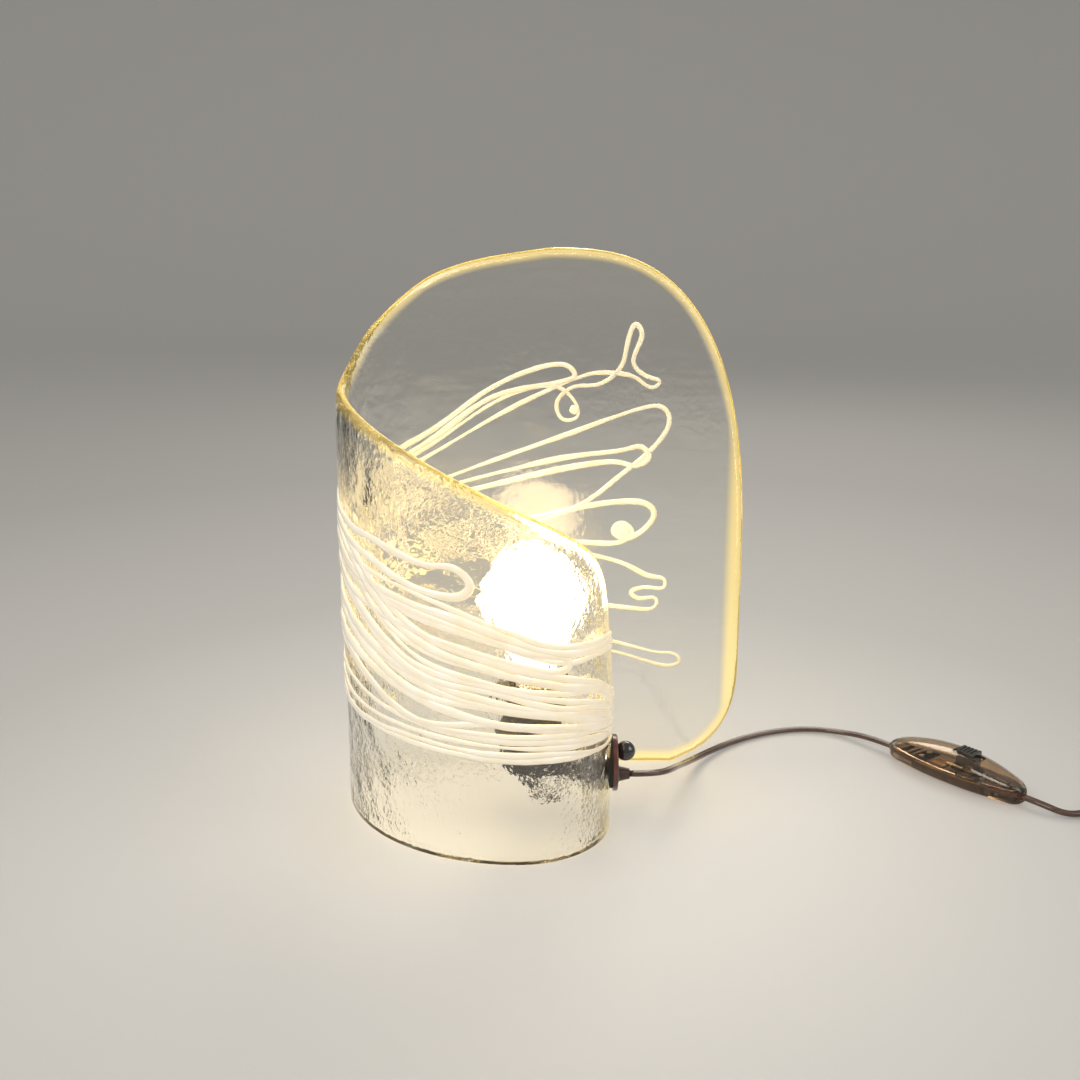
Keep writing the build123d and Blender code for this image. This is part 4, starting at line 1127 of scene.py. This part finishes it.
def switch_half(top, inset, steps):
    """Closed half of the torpedo: D-shaped sections that draw in to a round nose at both ends."""
    end = SWITCH_L / 2 - SWITCH_END_WALLS * inset
    power = 2 / COVER_POWER if top else 2 / TRAY_POWER
    rings = []
    for step in range(steps + 1):
        x = -cos(pi * step / steps) * end
        side, back = bowed(SWITCH_SIDE, x) - inset, bowed(SWITCH_BACK, x) - inset
        gone = min((end - abs(x)) / SWITCH_NOSE, 1.0)
        draw = SWITCH_TIP + (1 - SWITCH_TIP) * sqrt(1 - (1 - gone) ** 2)
        tall = back - SWITCH_SPLIT if top else inset - SWITCH_SPLIT
        ring = []
        for k in range(SWITCH_SIDES + 1):
            a = pi * k / SWITCH_SIDES
            y = side * (1 if cos(a) >= 0 else -1) * abs(cos(a)) ** power
            z = SWITCH_SPLIT + tall * sin(a) ** power
            ring.append(Vector((x, y * draw, SWITCH_ENTRY_Z + (z - SWITCH_ENTRY_Z) * draw)))
        if inset:
            lip = Vector((0, 0, SWITCH_LIP if top else -SWITCH_LIP))
            ring += [ring[-1] - lip, ring[0] - lip]
        elif top:
            ring = [p + Vector((0, 0, SWITCH_PARTING)) for p in ring]
        rings.append(ring)
    verts, faces = capped(rings)
    return [switch_place(p) for p in verts], faces


def switch_shell(name, top, node):
    """One half of the switch's case, hollow, with the slider's slot through the upper one."""
    verts, faces = switch_half(top, 0.0, SWITCH_STEPS)
    made = piece(name, verts, faces, "smoky_plastic", "lamp", node)
    verts, faces = switch_half(top, SWITCH_WALL, HOLLOW_STEPS)
    mesh = bpy.data.meshes.new("hollow")
    mesh.from_pydata([tuple(v) for v in verts], [], faces)
    hollow = bpy.data.objects.new("hollow", mesh)
    bpy.context.scene.collection.objects.link(hollow)
    cut_away(made, hollow)
    if top:
        place = switch_place((SLIDER_AT, 0, SWITCH_BACK[1]))
        bpy.ops.mesh.primitive_cube_add(size=1, location=place, rotation=(0, 0, SWITCH_TURN))
        slot = bpy.context.object
        slot.scale = (*SLOT, SWITCH_BACK[1])
        cut_away(made, slot)
    made.data.set_sharp_from_angle(angle=radians(SWITCH_CREASE))
    return made


# Tie round the coil; its section as (share of the half width, share of the thickness)
TIE_T = 0.001
TIE_R = 0.0035
TIE_TAIL = 0.016
TIE_GAP = 0.001
TIE_LIFT = 0.0009
TIE_STEPS = 8
TIE_CREASE = 40
TIE_SECTION = (
    (-1, 0.2),
    (-0.94, 0),
    (0.94, 0),
    (1, 0.2),
    (1, 0.8),
    (0.94, 1),
    (-0.94, 1),
    (-1, 0.8),
)


def coil_strap():
    """Woven strap round all the turns, with its free end pressed down on top."""
    low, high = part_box("coil_tie")
    low.y = COIL_AT[1] - coil_reach(0.5) - TIE_T
    half_w = (high.x - low.x) / 2
    middle = Vector(((low.x + high.x) / 2, 0, 0))
    up = Vector((0, 0, 1))
    front, back = low.y + TIE_R, high.y - TIE_R
    bottom, top = low.z + TIE_R, high.z - TIE_R
    path = []
    for y, z, first in ((back, top, 0), (front, top, 90), (front, bottom, 180), (back, bottom, 270)):
        for k in range(TIE_STEPS + 1):
            a = radians(first + 90 * k / TIE_STEPS)
            out = Vector((0, cos(a), sin(a)))
            path.append((Vector((0, y, z)) + TIE_R * out, out))
    path.append(path[0])
    path.append((Vector((0, back, high.z)), up))
    for k in range(TIE_STEPS + 1):
        lift = TIE_LIFT * eased(k / TIE_STEPS, 0.0, 0.5)
        y = back - TIE_GAP - TIE_TAIL * k / TIE_STEPS
        path.append((Vector((0, y, high.z + lift)), up))
    rings = []
    for place, out in path:
        ring = []
        for x, depth in TIE_SECTION:
            ring.append(middle + place + Vector((x * half_w, 0, 0)) - out * (depth * TIE_T))
        rings.append(ring)
    return piece("coil_strap", *capped(rings), "tie_strap", "lamp", "coil_tie", crease=TIE_CREASE)


# Pieces under the lampholder that are darker than their slot's finish
DARKER_UNDER_HOLDER = {"nipple": "dark_bracket", "nipple_nut": "dark_bracket", "inner_leads": "brown_flex"}


def paint_cad_nodes():
    """Every carried-over node takes its slot's finish, or a darker one where it hangs under the lampholder.
    """
    for row in frame["record"]["subparts"]:
        node = frame["nodes"][row["node"]]
        node.data.materials.clear()
        node.data.materials.append(FINISHES[DARKER_UNDER_HOLDER.get(row["node"], row["material_slot"])])


# Floor: its colour by the distance from the lamp, a painted pool of light that greys further off; how much
# it glows to the rays that see it; and its shape
PAINTED_LIGHT_POOL = (
    (0.16, (0.68, 0.665, 0.64)),
    (0.45, (0.52, 0.51, 0.485)),
    (1.0, (0.43, 0.42, 0.40)),
)
SEEN_RAYS = ("Is Camera Ray", "Is Glossy Ray", "Is Transmission Ray")
SEEN_SHARE = 0.30
FLOOR_X = 6.0
FLOOR_FRONT = -4.0
FLOOR_BACK = 2.4
BACKDROP_R = 1.0
BACKDROP_TOP = 4.0
BACKDROP_STEPS = 16

# Studio lamps: name, place, size, power and colour
LAMPS = (
    ("key_light", (-0.9, -0.9, 1.3), 0.9, 15.0, (1.0, 0.97, 0.92)),
    ("fill_light", (1.2, -0.5, 0.9), 0.9, 6.0, (1.0, 0.96, 0.90)),
    ("rim_light", (0.3, 1.3, 1.1), 0.7, 7.0, (1.0, 0.95, 0.86)),
)
LAMPS_AIM = Vector((0, 0, 0.15))


def pale_floor():
    """Pale floor that runs up into a backdrop, with a painted pool of light round the lamp that greys
    further off.
    """
    paint = Paint("pale_floor")
    place = paint.node("ShaderNodeTexCoord", output="Object")
    away = paint.node("ShaderNodeVectorMath", {"operation": "LENGTH"}, {0: place}, "Value")
    # Painted pool of light: the floor's colour is paler near the lamp and greyer further off
    colour = paint.ramp(away, *PAINTED_LIGHT_POOL)
    matt = paint.node("ShaderNodeBsdfPrincipled", {}, {"Base Color": colour, "Roughness": 0.55})
    glow = paint.node("ShaderNodeEmission", {}, {"Color": colour, "Strength": 1.0})
    camera_ray, glossy_ray, clear_ray = (paint.node("ShaderNodeLightPath", output=ray) for ray in SEEN_RAYS)
    rays = camera_ray + glossy_ray + clear_ray
    seen = paint.node("ShaderNodeMath", {"operation": "MINIMUM"}, {0: rays, 1: 1.0})
    surface = paint.node("ShaderNodeMixShader", {}, {0: seen * SEEN_SHARE, 1: matt, 2: glow})
    paint.node("ShaderNodeOutputMaterial", {}, {"Surface": surface})
    profile = [(FLOOR_FRONT, 0.0)]
    for k in range(BACKDROP_STEPS + 1):
        a = pi / 2 * k / BACKDROP_STEPS
        profile.append((FLOOR_BACK + BACKDROP_R * sin(a), BACKDROP_R - BACKDROP_R * cos(a)))
    profile.append((FLOOR_BACK + BACKDROP_R, BACKDROP_TOP))
    rings = [[(-FLOOR_X, y, z), (FLOOR_X, y, z)] for y, z in profile]
    mesh = bpy.data.meshes.new("pale_floor")
    mesh.from_pydata(flat(rings), [], bridge(rings, closed=False))
    mesh.shade_smooth()
    mesh.materials.append(paint.data)
    floor = bpy.data.objects.new("pale_floor", mesh)
    bpy.context.scene.collection.objects.link(floor)


def studio_light():
    """Soft lamps, and a pale world that looks like the far floor to the camera."""
    for name, place, size, power, colour in LAMPS:
        data = bpy.data.lights.new(name, "AREA")
        data.size = size
        data.energy = power
        data.color = colour
        lamp = bpy.data.objects.new(name, data)
        lamp.location = place
        lamp.rotation_euler = (LAMPS_AIM - Vector(place)).to_track_quat("-Z", "Y").to_euler()
        bpy.context.scene.collection.objects.link(lamp)
    sky = Paint("studio", bpy.data.worlds)
    light = sky.node("ShaderNodeBackground", {}, {"Color": (1.0, 0.97, 0.93, 1), "Strength": 0.45})
    far = sky.node("ShaderNodeBackground", {}, {"Color": (0.285, 0.279, 0.266, 1), "Strength": 1.0})
    camera_ray = sky.node("ShaderNodeLightPath", output="Is Camera Ray")
    both = sky.node("ShaderNodeMixShader", {}, {0: camera_ray, 1: light, 2: far})
    sky.node("ShaderNodeOutputWorld", {}, {"Surface": both})
    bpy.context.scene.world = sky.data


def camera():
    """The photo's view."""
    data = bpy.data.cameras.new("camera")
    data.sensor_width = CAMERA_SENSOR
    data.lens = CAMERA_LENS
    made = bpy.data.objects.new("camera", data)
    made.location = CAMERA_AT
    made.rotation_euler = (radians(90 - CAMERA_PITCH), 0, 0)
    bpy.context.scene.collection.objects.link(made)
    bpy.context.scene.camera = made


camera()
pale_floor()
studio_light()
paint_cad_nodes()
flex()
glass_body()
white_threads()
bulb_shell()
holder_cup()
